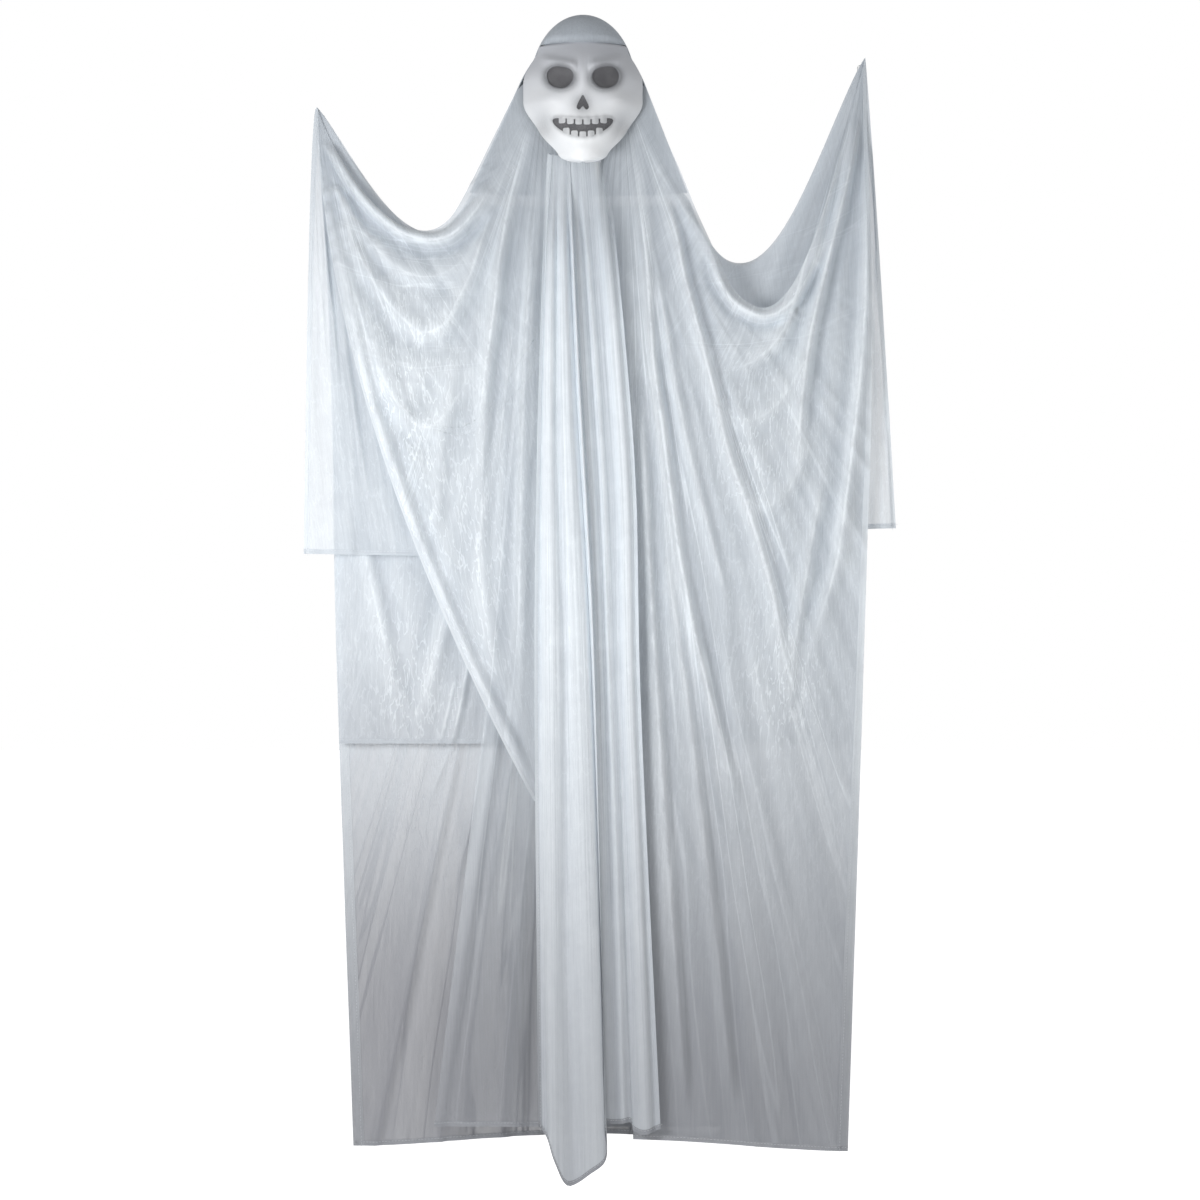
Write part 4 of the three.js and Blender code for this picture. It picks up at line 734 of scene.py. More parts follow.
# The hood's gauze has a darker tone, painted shade on the top of the head.
hood_gauze_painted_shade = gauze("hood_gauze_painted_shade", 0.92, 0.35, 41.0, sewn=True)
double_gauze = gauze("double_gauze", 0.72, 0.95, 51.0)
for material in (front_gauze, thin_gauze, back_gauze_painted_shade, gathered_gauze, hood_gauze_painted_shade, double_gauze):
    print(material.name, len(material.node_tree.nodes), "nodes")


def dress(piece, material, node, body="ghost"):
    piece.data.materials.clear()
    piece.data.materials.append(material)
    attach(piece, body)
    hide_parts(node)
    return piece


# %% [markdown]
# ## Closed shells and cut openings
# The head, the hood and the mask are closed solids. Each is a grid of points that closes on itself, and
# its openings are cut by prisms with the Boolean modifier, as a mould maker trims a pulled shell. The
# result is taken as a plain mesh, and edges sharper than forty degrees stay sharp.

# %% Solids
def solid(name, points, faces):
    mesh = bpy.data.meshes.new(name)
    mesh.from_pydata([tuple(p) for p in points], [], faces)
    mesh.validate()
    piece = bpy.data.objects.new(name, mesh)
    bpy.context.collection.objects.link(piece)
    return piece


def wall(name, front, back):
    """A closed wall between two grids of points of the same size."""
    rows, columns = front.shape[:2]
    count = rows * columns
    index = np.arange(count).reshape(rows, columns)
    a, b, c, d = index[:-1, :-1], index[:-1, 1:], index[1:, 1:], index[1:, :-1]
    faces = np.stack([a, d, c, b], -1).reshape(-1, 4).tolist()
    faces += (np.stack([a, b, c, d], -1).reshape(-1, 4) + count).tolist()
    rim = np.concatenate([index[0], index[1:, -1], index[-1, -2::-1], index[-2:0:-1, 0]])
    following = np.roll(rim, -1)
    faces += np.stack([rim, following, following + count, rim + count], -1).tolist()
    return solid(name, np.concatenate([front.reshape(-1, 3), back.reshape(-1, 3)]), faces)


def rings(name, points, first, last):
    """A closed skin through rings of points, from a first pole to a last one."""
    rows, columns = points.shape[:2]
    index = np.arange(rows * columns).reshape(rows, columns)
    following = np.roll(index, -1, axis=1)
    faces = np.stack([index[:-1], following[:-1], following[1:], index[1:]], -1).reshape(-1, 4).tolist()
    top, bottom = rows * columns, rows * columns + 1
    faces += [[top, b, a] for a, b in zip(index[0], following[0])]
    faces += [[bottom, a, b] for a, b in zip(index[-1], following[-1])]
    return solid(name, np.concatenate([points.reshape(-1, 3), [first, last]]), faces)


def prism(outline, near, far):
    """The outline, in pattern millimetres, run from one depth to another."""
    count = len(outline)
    x, z = np.array(outline, float).T
    points = np.concatenate([placed(x, near, z), placed(x, far, z)])
    following = [(i + 1) % count for i in range(count)]
    faces = [list(range(count)), list(range(2 * count - 1, count - 1, -1))]
    faces += [[i + count, j + count, j, i] for i, j in zip(range(count), following)]
    piece = solid("cutter", points, faces)
    put_outward(piece)
    return piece


def put_outward(piece):
    model = bmesh.new()
    model.from_mesh(piece.data)
    bmesh.ops.recalc_face_normals(model, faces=model.faces)
    model.to_mesh(piece.data)
    model.free()


def finished(piece):
    """The piece with its modifiers applied, as a plain mesh."""
    graph = bpy.context.evaluated_depsgraph_get()
    mesh = bpy.data.meshes.new_from_object(piece.evaluated_get(graph))
    piece.modifiers.clear()
    piece.data = mesh
    return piece


def cut(piece, cutters, operation="DIFFERENCE"):
    for cutter in cutters:
        change = piece.modifiers.new("cut", "BOOLEAN")
        change.operation, change.solver, change.object = operation, "EXACT", cutter
    finished(piece)
    for cutter in cutters:
        bpy.data.objects.remove(cutter)
    return piece


def smooth(piece, angle=40):
    piece.data.shade_smooth()
    piece.data.set_sharp_from_angle(angle=math.radians(angle))
    return piece


def box_at(low, high):
    x0, y0, z0 = low
    x1, y1, z1 = high
    return prism([(x0, z0), (x1, z0), (x1, z1), (x0, z1)], y0, y1)


def round_outline(centre, radius, count=48):
    turns = np.linspace(0, 2 * np.pi, count, endpoint=False)
    return [(centre[0] + radius * math.cos(t), centre[1] + radius * math.sin(t)) for t in turns]


# %% [markdown]
# ## Head, neck and pads
# Under the cloth is a plain foam head with a neck stub and a flat boss for the hanger. It is an egg whose
# front and back differ. Foam is matt and finely pitted, which is a noise in the bump.

# %% Foam head
HEAD_WIDTH, HEAD_HEIGHT, HEAD_FRONT, HEAD_BACK = 174.0, 236.0, 60.0, 86.0
NECK_RADIUS, NECK_LENGTH = 29.0, 58.0
HEAD_TOP = 2.7
BOSS_RADIUS, BOSS_Z = 25.0, 80.0
SCREW_HOLE, SCREW_DEPTH = 1.9, 28.0
SCREW_HEIGHTS = (-72.7, -90.7)


def pitted_foam():
    material, nodes, surface = shader("foam", {"Roughness": 0.95})
    where = nodes.add("ShaderNodeTexCoord", None, None, 3)
    pits = nodes.noise(where, 900.0, 2.0)
    clouds = nodes.noise(where, 25.0, 3.0)
    feed(nodes, surface, {"Base Color": nodes.blend(clouds, tint(0.62, 0.61, 0.57), tint(0.74, 0.73, 0.69)),
                          "Normal": nodes.bump(pits, 0.5, 0.0006)})
    return material


foam = pitted_foam()


def make_head():
    bottom = HEAD_TOP + HEAD_HEIGHT
    turn = np.linspace(0, 2 * np.pi, 72, endpoint=False)
    below = HEAD_HEIGHT * (1 - np.cos(np.linspace(0.03, np.pi, 60))) / 2
    radius = HEAD_WIDTH / 2 * np.sqrt(1 - (2 * below / HEAD_HEIGHT - 1) ** 2)
    on_neck = (below > HEAD_HEIGHT / 2) & (radius < NECK_RADIUS)
    radius = np.append(np.where(on_neck, NECK_RADIUS, radius), [NECK_RADIUS, NECK_RADIUS, NECK_RADIUS - 1.5])
    below = np.append(below, [HEAD_HEIGHT + NECK_LENGTH / 2, HEAD_HEIGHT + NECK_LENGTH - 1.5,
                              HEAD_HEIGHT + NECK_LENGTH])
    in_neck = ease(below + HEAD_TOP, bottom - 30, bottom)[:, None]
    front_or_back = np.where(np.sin(turn) < 0, HEAD_FRONT, HEAD_BACK) / (HEAD_WIDTH / 2)
    x = radius[:, None] * np.cos(turn)
    y = radius[:, None] * np.sin(turn) * mix(front_or_back, 1, in_neck)
    z = -(below[:, None] + HEAD_TOP) + 0 * x
    head = rings("foam_head", placed(x, y, z), placed(0, 0, -HEAD_TOP), placed(0, 0, -bottom - NECK_LENGTH))
    put_outward(head)
    boss = prism(round_outline((0, -BOSS_Z), BOSS_RADIUS), HEAD_BACK / 2, BOSS_FACE)
    cut(head, [boss], "UNION")
    for z in SCREW_HEIGHTS:
        cut(head, [prism(round_outline((0, z), SCREW_HOLE, 20), BOSS_FACE - SCREW_DEPTH, BOSS_FACE + 5)])
    smooth(head)
    head.data.materials.append(foam)
    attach(head, "ghost")
    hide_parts("head_form")
    print("head", len(head.data.polygons), "faces")


make_head()

# %% [markdown]
# ## The mask
# The mask is a thin moulded shell. Its relief is a sum of rounded rises and hollows: brows, eye sockets,
# cheekbones, the bridge of the nose, a muzzle and a chin. The openings are cut through a fine grid, the
# teeth are left standing in the mouth, and each opening has a raised lip. The airbrushed shade round the
# eyes, the nose and the mouth is an attribute on the points, worked out from the same sizes.

# %% Mask shape
HOOD_FRONT = 86.0
MASK_TOP, MASK_CHIN, MASK_WALL = 50.0, 272.0, 2.2
MASK_RIM, MASK_CHIN_RIM = 26.0, 62.0
MASK_TOP_WIDTH, MASK_BROW_WIDTH, MASK_WIDTH = 134.0, 159.0, 214.0
EYE_X, EYE_Z, EYE_WIDTH, EYE_HEIGHT, EYE_TILT = 41.0, 122.0, 48.0, 38.0, 14.0
NOSE_Z, NOSE_WIDTH, NOSE_HEIGHT = 168.0, 22.0, 26.0
MOUTH_Z, MOUTH_WIDTH, MOUTH_HEIGHT, MOUTH_CURVE = 214.0, 108.0, 30.0, 16.0
TOOTH_COUNT, TOOTH_WIDTH, TOOTH_LENGTH = 6, 12.0, 9.0


def mask_half_width(below):
    t = (below - MASK_TOP) / (MASK_CHIN - MASK_TOP)
    brow = mix(MASK_TOP_WIDTH, MASK_BROW_WIDTH, ease(below, HOOD_BROW - 1, HOOD_BROW + 5))
    width = mix(brow, MASK_WIDTH, ease(below, HOOD_BROW + 3, EYE_Z + 3))
    jaw = 1 - 0.3 * ease(t, 0.5, 0.8) - 0.3 * ease(t, 0.74, 0.96)
    chin = np.maximum((t - 0.93) / 0.07, 0)
    return np.maximum(width / 2 * jaw * np.sqrt(np.maximum(1 - chin * chin, 0)), 5)


def rise_at(x, z, at_x, at_z, width, height):
    return np.exp(-((x - at_x) / width) ** 2 - ((z - at_z) / height) ** 2)


def mouth_line(x):
    return -MOUTH_Z + MOUTH_CURVE * (x / (MOUTH_WIDTH / 2)) ** 2


def mouth_open(x):
    return MOUTH_HEIGHT / 2 * np.sqrt(np.clip(1 - (x / (MOUTH_WIDTH / 2)) ** 2, 0, 1))


def teeth_places():
    pitch = MOUTH_WIDTH * 0.82 / TOOTH_COUNT
    for edge in (1, -1):
        count = TOOTH_COUNT if edge > 0 else TOOTH_COUNT - 1
        for i in range(count):
            yield edge, (i - (count - 1) / 2) * pitch


def eye_reach(x, below):
    """1 on the edge of an eye opening, and less inside."""
    tilt = math.radians(EYE_TILT)
    across, up = np.abs(x) - EYE_X, EYE_Z - below
    along, over = across * math.cos(tilt) + up * math.sin(tilt), up * math.cos(tilt) - across * math.sin(tilt)
    return np.hypot(along / (EYE_WIDTH / 2), over / (EYE_HEIGHT / 2))


def mask_relief(x, below):
    side = np.abs(x)
    socket = rise_at(side, below, EYE_X, EYE_Z, EYE_WIDTH * 0.5, EYE_HEIGHT * 0.55)
    brow_line = EYE_Z - EYE_HEIGHT * 0.72 - (side - EYE_X) * math.tan(math.radians(EYE_TILT))
    brow = np.exp(-((below - brow_line) / 9) ** 2) * ease(side, 4, 22) * (1 - ease(side, 60, 84))
    cheek = rise_at(side, below, EYE_X * 1.6, NOSE_Z - 6, 24, 16)
    bridge = rise_at(x, below, 0, EYE_Z + 8, 11, 26)
    nose = rise_at(x, below, 0, NOSE_Z, NOSE_WIDTH * 0.8, NOSE_HEIGHT * 0.6)
    muzzle = rise_at(x, below, 0, MOUTH_Z, MOUTH_WIDTH * 0.42, 26)
    hollow = rise_at(side, below, MOUTH_WIDTH * 0.62, MOUTH_Z - 2, 15, 24)
    chin = rise_at(x, below, 0, MASK_CHIN - 20, 26, 15)
    return 9 * brow - 8 * socket + 7 * cheek + 5 * bridge - 4 * nose + 6 * muzzle - 6 * hollow + 6 * chin


def mask_detail(x, below):
    """The lips of the openings and the roots of the teeth, which are too fine for the plain solid."""
    eye_lip = np.exp(-((eye_reach(x, below) - 1.12) / 0.09) ** 2)
    from_mouth = np.abs(np.abs(-below - mouth_line(x)) - mouth_open(x) - 2.6)
    mouth_lip = np.exp(-(from_mouth / 1.8) ** 2) * (1 - ease(np.abs(x), 52, 58))
    roots = 0
    for edge, tooth_x in teeth_places():
        tooth_z = mouth_line(tooth_x) + edge * mouth_open(tooth_x)
        roots = roots + rise_at(x, -below, tooth_x, tooth_z, TOOTH_WIDTH * 0.42, 7)
    furrow = np.exp(-((np.abs(x) - 9) / 2.2) ** 2) * rise_at(0, below, 0, EYE_Z - 18, 1, 12)
    return 1.3 * eye_lip + 1.1 * mouth_lip + 1.8 * roots - 1.4 * furrow


def mask_front(x, below, fine=True):
    half = mask_half_width(below)
    t = np.clip(np.abs(x) / half, 0, 1)
    down = (below - MASK_TOP) / (MASK_CHIN - MASK_TOP)
    crown = HOOD_FRONT * np.sqrt(np.clip(1 - ((below - 125) / 125) ** 2, 0, 1))
    middle = mix(crown - 4, 100, ease(down, 0.02, 0.3)) - 14 * ease(down, 0.6, 1)
    rim = mix(MASK_RIM, MASK_CHIN_RIM, ease(down, 0.62, 1))
    relief = mask_relief(x, below) + (mask_detail(x, below) if fine else 0)
    relief = relief * (1 - ease(t, 0.82, 1)) * ease(below, MASK_TOP + 8, MASK_TOP + 30)
    return -(rim + (middle - rim) * (1 - t ** 2.2) + relief)


def mask_grid(columns, rows, back=0.0, columns_from=-1.0, columns_to=1.0, top=MASK_TOP, bottom=MASK_CHIN):
    below, spread = np.meshgrid(np.linspace(top, bottom, rows + 1),
                                np.linspace(columns_from, columns_to, columns + 1), indexing="ij")
    x = mask_half_width(below) * np.sign(spread) * np.abs(spread) ** 0.92
    return placed(x, mask_front(x, below) + back, -below)


def eye_outline(side):
    tilt = math.radians(EYE_TILT) * side
    w, h = EYE_WIDTH / 2, EYE_HEIGHT / 2
    corners = ((-w, 0.1 * h), (-0.72 * w, 0.78 * h), (0, 0.98 * h), (0.76 * w, 0.8 * h), (w, 0.05 * h),
               (0.66 * w, -0.76 * h), (0, -h), (-0.66 * w, -0.74 * h))
    turned = [(side * EYE_X + x * math.cos(tilt) - z * math.sin(tilt),
               -EYE_Z + x * math.sin(tilt) + z * math.cos(tilt)) for x, z in corners]
    return smooth_line(turned, 72, closed=True)


def nose_outline():
    w, h = NOSE_WIDTH / 2, NOSE_HEIGHT / 2
    half = ((0, h), (0.45 * w, 0.45 * h), (w, -0.62 * h), (0.55 * w, -h), (0, -0.55 * h))
    other = [(-x, z) for x, z in half[-2:0:-1]]
    return smooth_line([(x, z - NOSE_Z) for x, z in (*half, *other)], 56, closed=True)


def mouth_outline():
    x = -MOUTH_WIDTH / 2 * np.cos(np.linspace(0, np.pi, 41))
    low = np.stack([x, mouth_line(x) - mouth_open(x)], 1)
    high = np.stack([x, mouth_line(x) + mouth_open(x)], 1)[-2:0:-1]
    return np.concatenate([low, high])


def tooth_outline(edge, x):
    root = mouth_line(x) + edge * (mouth_open(x) + 4)
    tip = mouth_line(x) + edge * max(mouth_open(x) - TOOTH_LENGTH, 2.2)
    half = TOOTH_WIDTH / 2
    turns = np.linspace(0, np.pi / 2, 6)
    side = [(x + half - 3 + 3 * math.cos(t), tip + edge * 3 - edge * 3 * math.sin(t)) for t in turns]
    other = [(2 * x - px, pz) for px, pz in reversed(side)]
    return [(x + half, root), *side, *other, (x - half, root)]


def airbrush(piece):
    """How much grey paint lies at each point of the mask."""
    co = np.empty(len(piece.data.vertices) * 3)
    piece.data.vertices.foreach_get("co", co)
    x, _, z = (co.reshape(-1, 3) / MM).T
    below = CROWN / MM - z
    eyes = np.exp(-(np.clip(eye_reach(x, below) - 1, 0, None) / 0.42) ** 2)
    nose = rise_at(x, below, 0, NOSE_Z, NOSE_WIDTH * 0.75, NOSE_HEIGHT * 0.75)
    from_mouth = np.clip(np.abs(-below - mouth_line(x)) - mouth_open(x), 0, None)
    mouth = np.exp(-(from_mouth / 5) ** 2) * (1 - ease(np.abs(x), 50, 62))
    cheeks = rise_at(np.abs(x), below, MOUTH_WIDTH * 0.66, MOUTH_Z - 8, 16, 26)
    paint = np.clip(0.85 * eyes + 0.7 * nose + 0.45 * mouth + 0.4 * cheeks, 0, 1)
    attribute = piece.data.attributes.new("airbrush", "FLOAT", "POINT")
    attribute.data.foreach_set("value", paint.astype(np.float32))


# %% [markdown]
# ## Vinyl and netting
# The mask is pale vinyl with a faint sheen, sprayed grey round its openings, and painted greyer towards its
# top, as painted shade under the hood.
# Behind each opening is a patch of fine black net. Thousands of threads could be modelled, but at this size
# they are a pattern: two folded ramps at right angles make threads and holes, and the holes are see-through.

# %% Mask material, mask and screens
NET_PITCH = 0.0016                       # metres, from thread to thread


def moulded_vinyl():
    material, nodes, surface = shader("vinyl", {"Roughness": 0.5, "Specular IOR Level": 0.45})
    where = nodes.add("ShaderNodeTexCoord", None, None, 3)
    height = nodes.add("ShaderNodeSeparateXYZ", None, {0: where}, 2)
    paint = nodes.add("ShaderNodeAttribute", {"attribute_name": "airbrush"}, None, 2)
    spray = nodes.noise(where, 420.0, 2.0)
    clouds = nodes.noise(where, 30.0, 3.0, 0.6)
    # Painted shade: the top of the mask is blended towards grey, under the hood's edge.
    painted_shade_under_hood = nodes.ramp(height, -0.21, -0.02, 0.0, 0.7)
    colour = nodes.blend(clouds, tint(0.9, 0.93, 0.96), tint(0.98, 0.99, 1.0))
    colour = nodes.blend(painted_shade_under_hood, colour, tint(0.4, 0.42, 0.48))
    strength = (paint * (0.75 + 0.5 * spray)).clamped()
    colour = nodes.blend(strength, colour, tint(0.16, 0.165, 0.18))
    feed(nodes, surface, {"Base Color": colour, "Roughness": 0.42 + 0.2 * clouds,
                          "Normal": nodes.bump(spray + clouds, 0.12, 0.0008)})
    return material


def netting():
    """Fine black net: threads on a square grid, on the piece's own coordinates."""
    material, nodes, surface = shader("netting", {"Roughness": 0.8})
    where = nodes.add("ShaderNodeTexCoord", None, None, 3)
    parts = nodes.tree.nodes.new("ShaderNodeSeparateXYZ")
    nodes.tree.links.new(where.socket, parts.inputs[0])
    sides = [Value(nodes, parts.outputs[k]) for k in (0, 2)]
    from_thread = [side.maths("PINGPONG", side, NET_PITCH / 2) / (NET_PITCH / 2) for side in sides]
    hole = from_thread[0].maths("MINIMUM", *from_thread)
    dirt = nodes.noise(where, 60.0)
    feed(nodes, surface, {"Base Color": nodes.blend(dirt, tint(0.1, 0.1, 0.11), tint(0.2, 0.2, 0.21)),
                          "Alpha": nodes.ramp(hole, 0.35, 0.6, 1.0, 0.35)})
    return material


vinyl = moulded_vinyl()
net = netting()


def make_mask():
    mask = wall("mask", mask_grid(150, 170), mask_grid(150, 170, MASK_WALL))
    put_outward(mask)
    teeth = [prism(tooth_outline(*tooth), -210, 10) for tooth in teeth_places()]
    mouth = cut(prism(mouth_outline(), -200, 0), teeth)
    eyes = [prism(eye_outline(side), -200, 0) for side in (-1, 1)]
    cut(mask, [*eyes, prism(nose_outline(), -200, 0), mouth])
    smooth(mask, 50)
    airbrush(mask)
    mask.data.materials.append(vinyl)
    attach(mask, "ghost")
    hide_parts("mask_shell")
    print("mask", len(mask.data.polygons), "faces")


def make_screen(name, node, low, high, top, bottom):
    """A patch of net, glued behind an opening and shaped like the inside of the shell."""
    half = float(mask_half_width((top + bottom) / 2))
    spread = [math.copysign(abs(x / half) ** (1 / 0.92), x) for x in (low, high)]
    near = MASK_WALL + 0.3
    ranges = (*spread, top, bottom)
    screen = wall(name, mask_grid(30, 24, near, *ranges), mask_grid(30, 24, near + 0.8, *ranges))
    put_outward(screen)
    smooth(screen, 60)
    screen.data.materials.append(net)
    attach(screen, "ghost")
    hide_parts(node)


make_mask()
for word, side in (("left", -1), ("right", 1)):
    reach = EYE_WIDTH * 0.6
    make_screen(f"net_eye_{word}", f"eye_screen_{word}", side * EYE_X - reach, side * EYE_X + reach,
                EYE_Z - EYE_HEIGHT * 0.66, EYE_Z + EYE_HEIGHT * 0.66)
make_screen("net_nose", "nose_screen", -NOSE_WIDTH * 0.75, NOSE_WIDTH * 0.75,
            NOSE_Z - NOSE_HEIGHT * 0.65, NOSE_Z + NOSE_HEIGHT * 0.62)
make_screen("net_mouth", "mouth_screen", -MOUTH_WIDTH * 0.56, MOUTH_WIDTH * 0.56,
            MOUTH_Z - MOUTH_CURVE - MOUTH_HEIGHT * 0.2, MOUTH_Z + MOUTH_HEIGHT * 0.68)

# %% [markdown]
# ## The hood
# The hood is sewn cloth over the back and top of the head, with a skirt that spreads over the shoulders
# under the capes. It is the same egg, one cloth thickness larger, with soft flutes in the skirt.

# %% Hood
HOOD_WIDTH, HOOD_HEIGHT, HOOD_BACK = 188.0, 250.0, 93.0
HOOD_FLARE_TOP, HOOD_HEM, HOOD_HEM_WIDTH, HOOD_HEM_BACK = 80.0, 320.0, 392.0, 70.0
HOOD_LEAN = -8.0
FACE_PLANE = 6.0
CLOTH = 1.2


def hood_section(below):
    """Half width of the hood, its reach to the front and back, and its middle, at a depth below the crown."""
    round_part = np.sqrt(np.clip(1 - ((np.minimum(below, 125) - 125) / 125) ** 2, 0, 1))
    flare = np.maximum((below - HOOD_FLARE_TOP) / (HOOD_HEM - HOOD_FLARE_TOP), 0)
    width = HOOD_WIDTH / 2 * round_part + (HOOD_HEM_WIDTH - HOOD_WIDTH) / 2 * flare
    back = HOOD_BACK * round_part + (HOOD_HEM_BACK - HOOD_BACK) * ease(below, 125, HOOD_HEM)
    return width, HOOD_FRONT * round_part, back, HOOD_LEAN * flare


def hood_rings(below, wall_thickness, drop):
    turn = np.linspace(0, 2 * np.pi, 180, endpoint=False)
    below = below[:, None]
    width, front, back, middle = hood_section(below)
    fold = 1 - 0.04 * ease(below, HOOD_FLARE_TOP, HOOD_HEM) * (1 - np.cos(turn * 16))
    x = middle + np.maximum(width * fold - wall_thickness, 0.8) * np.cos(turn)
    y = np.maximum(np.where(np.sin(turn) < 0, front, back) * fold - wall_thickness, 0.8) * np.sin(turn)
    on_mask = mask_front(x, np.maximum(below, MASK_TOP)) - 0.4 - CLOTH * 1.4 + wall_thickness
    y = np.where(np.sin(turn) < 0, mix(y, np.maximum(y, on_mask), ease(below, 38, 52)), y)
    return placed(x, y, -below - drop[:, None])


def make_hood():
    below = np.concatenate([HOOD_HEIGHT / 2 * (1 - np.cos(np.linspace(0.06, np.pi / 2, 40))),
                            np.linspace(HOOD_HEIGHT / 2 + 4, HOOD_HEM, 46)])
    outer = hood_rings(below, 0.0, 0 * below)
    inner = hood_rings(below, CLOTH * 1.4, CLOTH * (1 - ease(below, 0, 60)))[::-1]
    hood = rings("hood_cloth", np.concatenate([outer, inner]), placed(0, 0, 0), placed(0, 0, -CLOTH))
    put_outward(hood)
    face = box_at((-400, -400, -700), (400, -FACE_PLANE, -HOOD_BROW))
    boss = prism(round_outline((0, -BOSS_Z), BOSS_RADIUS + 0.5), BOSS_FACE - 40, BOSS_FACE + 30)
    cut(hood, [face, boss])
    smooth(hood, 50)
    return hood


# %% [markdown]
# ## Pads, band and hardware
# The parts that nobody sees still carry the decoration. Foam pads fill the gap between head and mask, a
# band holds the gathered cloth on the neck stub, and three steel rings take the lines. A ring is a line
# with a round wire along it: Geometry Nodes turns the line into a curve and sweeps a circle along it.

# %% Pads and neck band
NECK_TOP = -(HEAD_TOP + HEAD_HEIGHT)
BAND_HEIGHT, BAND_WALL = 28.0, 3.0
PAD_GAP, BAND_GAP = 0.6, 0.6


def node_corners(node):
    """The box of a CAD node in pattern millimetres."""
    low, high = (np.array(corner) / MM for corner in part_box(node))
    shift = np.array([0, HEAD_AXIS / MM, CROWN / MM])
    return low - shift, high - shift


def make_pad(name, node):
    """Foam between the head and the inside of the mask."""
    low, high = node_corners(node)
    near = MASK_WALL + PAD_GAP
    below, across = np.meshgrid(np.linspace(-low[2], -high[2], 20), np.linspace(low[0], high[0], 20),
                                indexing="ij")
    front = placed(across, mask_front(across, below) + near, -below)
    deep = HEAD_HEIGHT / 2
    aside, low_down = across / (HEAD_WIDTH / 2 + PAD_GAP), (below - HEAD_TOP - deep) / (deep + PAD_GAP)
    egg = np.sqrt(np.clip(1 - aside ** 2 - low_down ** 2, 0, 1))
    inside = np.minimum(-(HEAD_FRONT + PAD_GAP) * egg, high[1])
    inside = np.maximum(inside, mask_front(across, below) + near + 1.5)
    pad = wall(name, front, placed(across, inside, -below))
    put_outward(pad)
    smooth(pad, 50)
    pad.data.materials.append(foam)
    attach(pad, "ghost")
    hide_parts(node)


def make_band():
    inside = NECK_RADIUS + BAND_GAP
    outside = inside + BAND_WALL
    low = NECK_TOP - BAND_HEIGHT
    profile = [(outside, low), (outside + 0.7, low + BAND_HEIGHT / 2), (outside, NECK_TOP),
               (inside, NECK_TOP), (inside, low)]
    turn = np.linspace(0, 2 * np.pi, 72, endpoint=False)
    points = np.array([placed(r * np.cos(turn), r * np.sin(turn), z + 0 * turn) for r, z in profile])
    index = np.arange(points.size // 3).reshape(len(profile), -1)
    after = np.roll(index, -1, axis=0)
    faces = np.stack([index, np.roll(index, -1, 1), np.roll(after, -1, 1), after], -1).reshape(-1, 4).tolist()
    band = solid("neck_wrap", points.reshape(-1, 3), faces)
    put_outward(band)
    smooth(band, 50)
    band.data.materials.append(webbing)
    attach(band, "ghost")
    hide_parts("neck_band")


def woven_webbing():
    material, nodes, surface = shader("webbing", {"Roughness": 0.85})
    where = nodes.add("ShaderNodeTexCoord", None, None, 3)
    weave = nodes.noise(nodes.stretched(where, (900.0, 900.0, 2200.0)), 1.0, 1.0)
    feed(nodes, surface, {"Base Color": nodes.blend(weave, tint(0.6, 0.62, 0.66), tint(0.78, 0.8, 0.84)),
                          "Normal": nodes.bump(weave, 0.4, 0.0004)})
    return material


def zinc_steel():
    material, nodes, surface = shader("steel", {"Metallic": 1.0})
    where = nodes.add("ShaderNodeTexCoord", None, None, 3)
    clouds = nodes.noise(where, 160.0, 3.0)
    fine = nodes.noise(where, 1500.0, 1.0)
    feed(nodes, surface, {"Base Color": nodes.blend(clouds, tint(0.46, 0.47, 0.48), tint(0.62, 0.63, 0.64)),
                          "Roughness": 0.25 + 0.3 * clouds, "Normal": nodes.bump(fine, 0.1, 0.0002)})
    return material


webbing = woven_webbing()
steel = zinc_steel()
make_pad("pad_forehead", "forehead_pad")
make_pad("pad_cheek_left", "cheek_pad_left")
make_pad("pad_cheek_right", "cheek_pad_right")
make_band()
dress(make_hood(), hood_gauze_painted_shade, "hood")
print("pads, band and hood in place")

# %% [markdown]
# ## Trees that sweep and sew
# Two Geometry Nodes trees do what repeats. One sweeps a round wire along a line. The other walks along a
# line at an even spacing and sets a short thread at each step, turned along the line, which is a seam. The
# result is taken as a plain mesh, so that nothing live is left.

# %% Geometry Nodes
WIRE_SIDES, THREAD_SIDES = 16, 5


def new_tree(name, inputs):
    """A tree with a geometry input and output and the named inputs, ready for its own nodes."""
    tree = bpy.data.node_groups.new(name, "GeometryNodeTree")
    tree.interface.new_socket("Geometry", in_out="OUTPUT", socket_type="NodeSocketGeometry")
    tree.interface.new_socket("Geometry", in_out="INPUT", socket_type="NodeSocketGeometry")
    for socket, kind in inputs.items():
        tree.interface.new_socket(socket, in_out="INPUT", socket_type="NodeSocket" + kind)
    return tree, tree.nodes.new("NodeGroupInput"), tree.nodes.new("NodeGroupOutput")


def join(tree, kind, sockets, **settings):
    """A node with its settings and its inputs, which are sockets to link or plain values."""
    node = tree.nodes.new(kind)
    for setting, value in settings.items():
        setattr(node, setting, value)
    for socket, value in sockets.items():
        if isinstance(value, bpy.types.NodeSocket):
            tree.links.new(value, node.inputs[socket])
        else:
            node.inputs[socket].default_value = value
    return node


def round_wire(tree, line, radius, sides):
    """A closed round wire along a curve."""
    ring = join(tree, "GeometryNodeCurvePrimitiveCircle", {"Resolution": sides, "Radius": radius})
    return join(tree, "GeometryNodeCurveToMesh", {
        "Curve": line, "Profile Curve": ring.outputs[0], "Fill Caps": True}).outputs[0]


def end_tree(tree, shape, material, result):
    """Every tree ends in real geometry with its material set."""
    real = join(tree, "GeometryNodeRealizeInstances", {"Geometry": shape})
    done = join(tree, "GeometryNodeSetMaterial", {"Geometry": real.outputs[0], "Material": material})
    tree.links.new(done.outputs[0], result.inputs[0])
    return tree


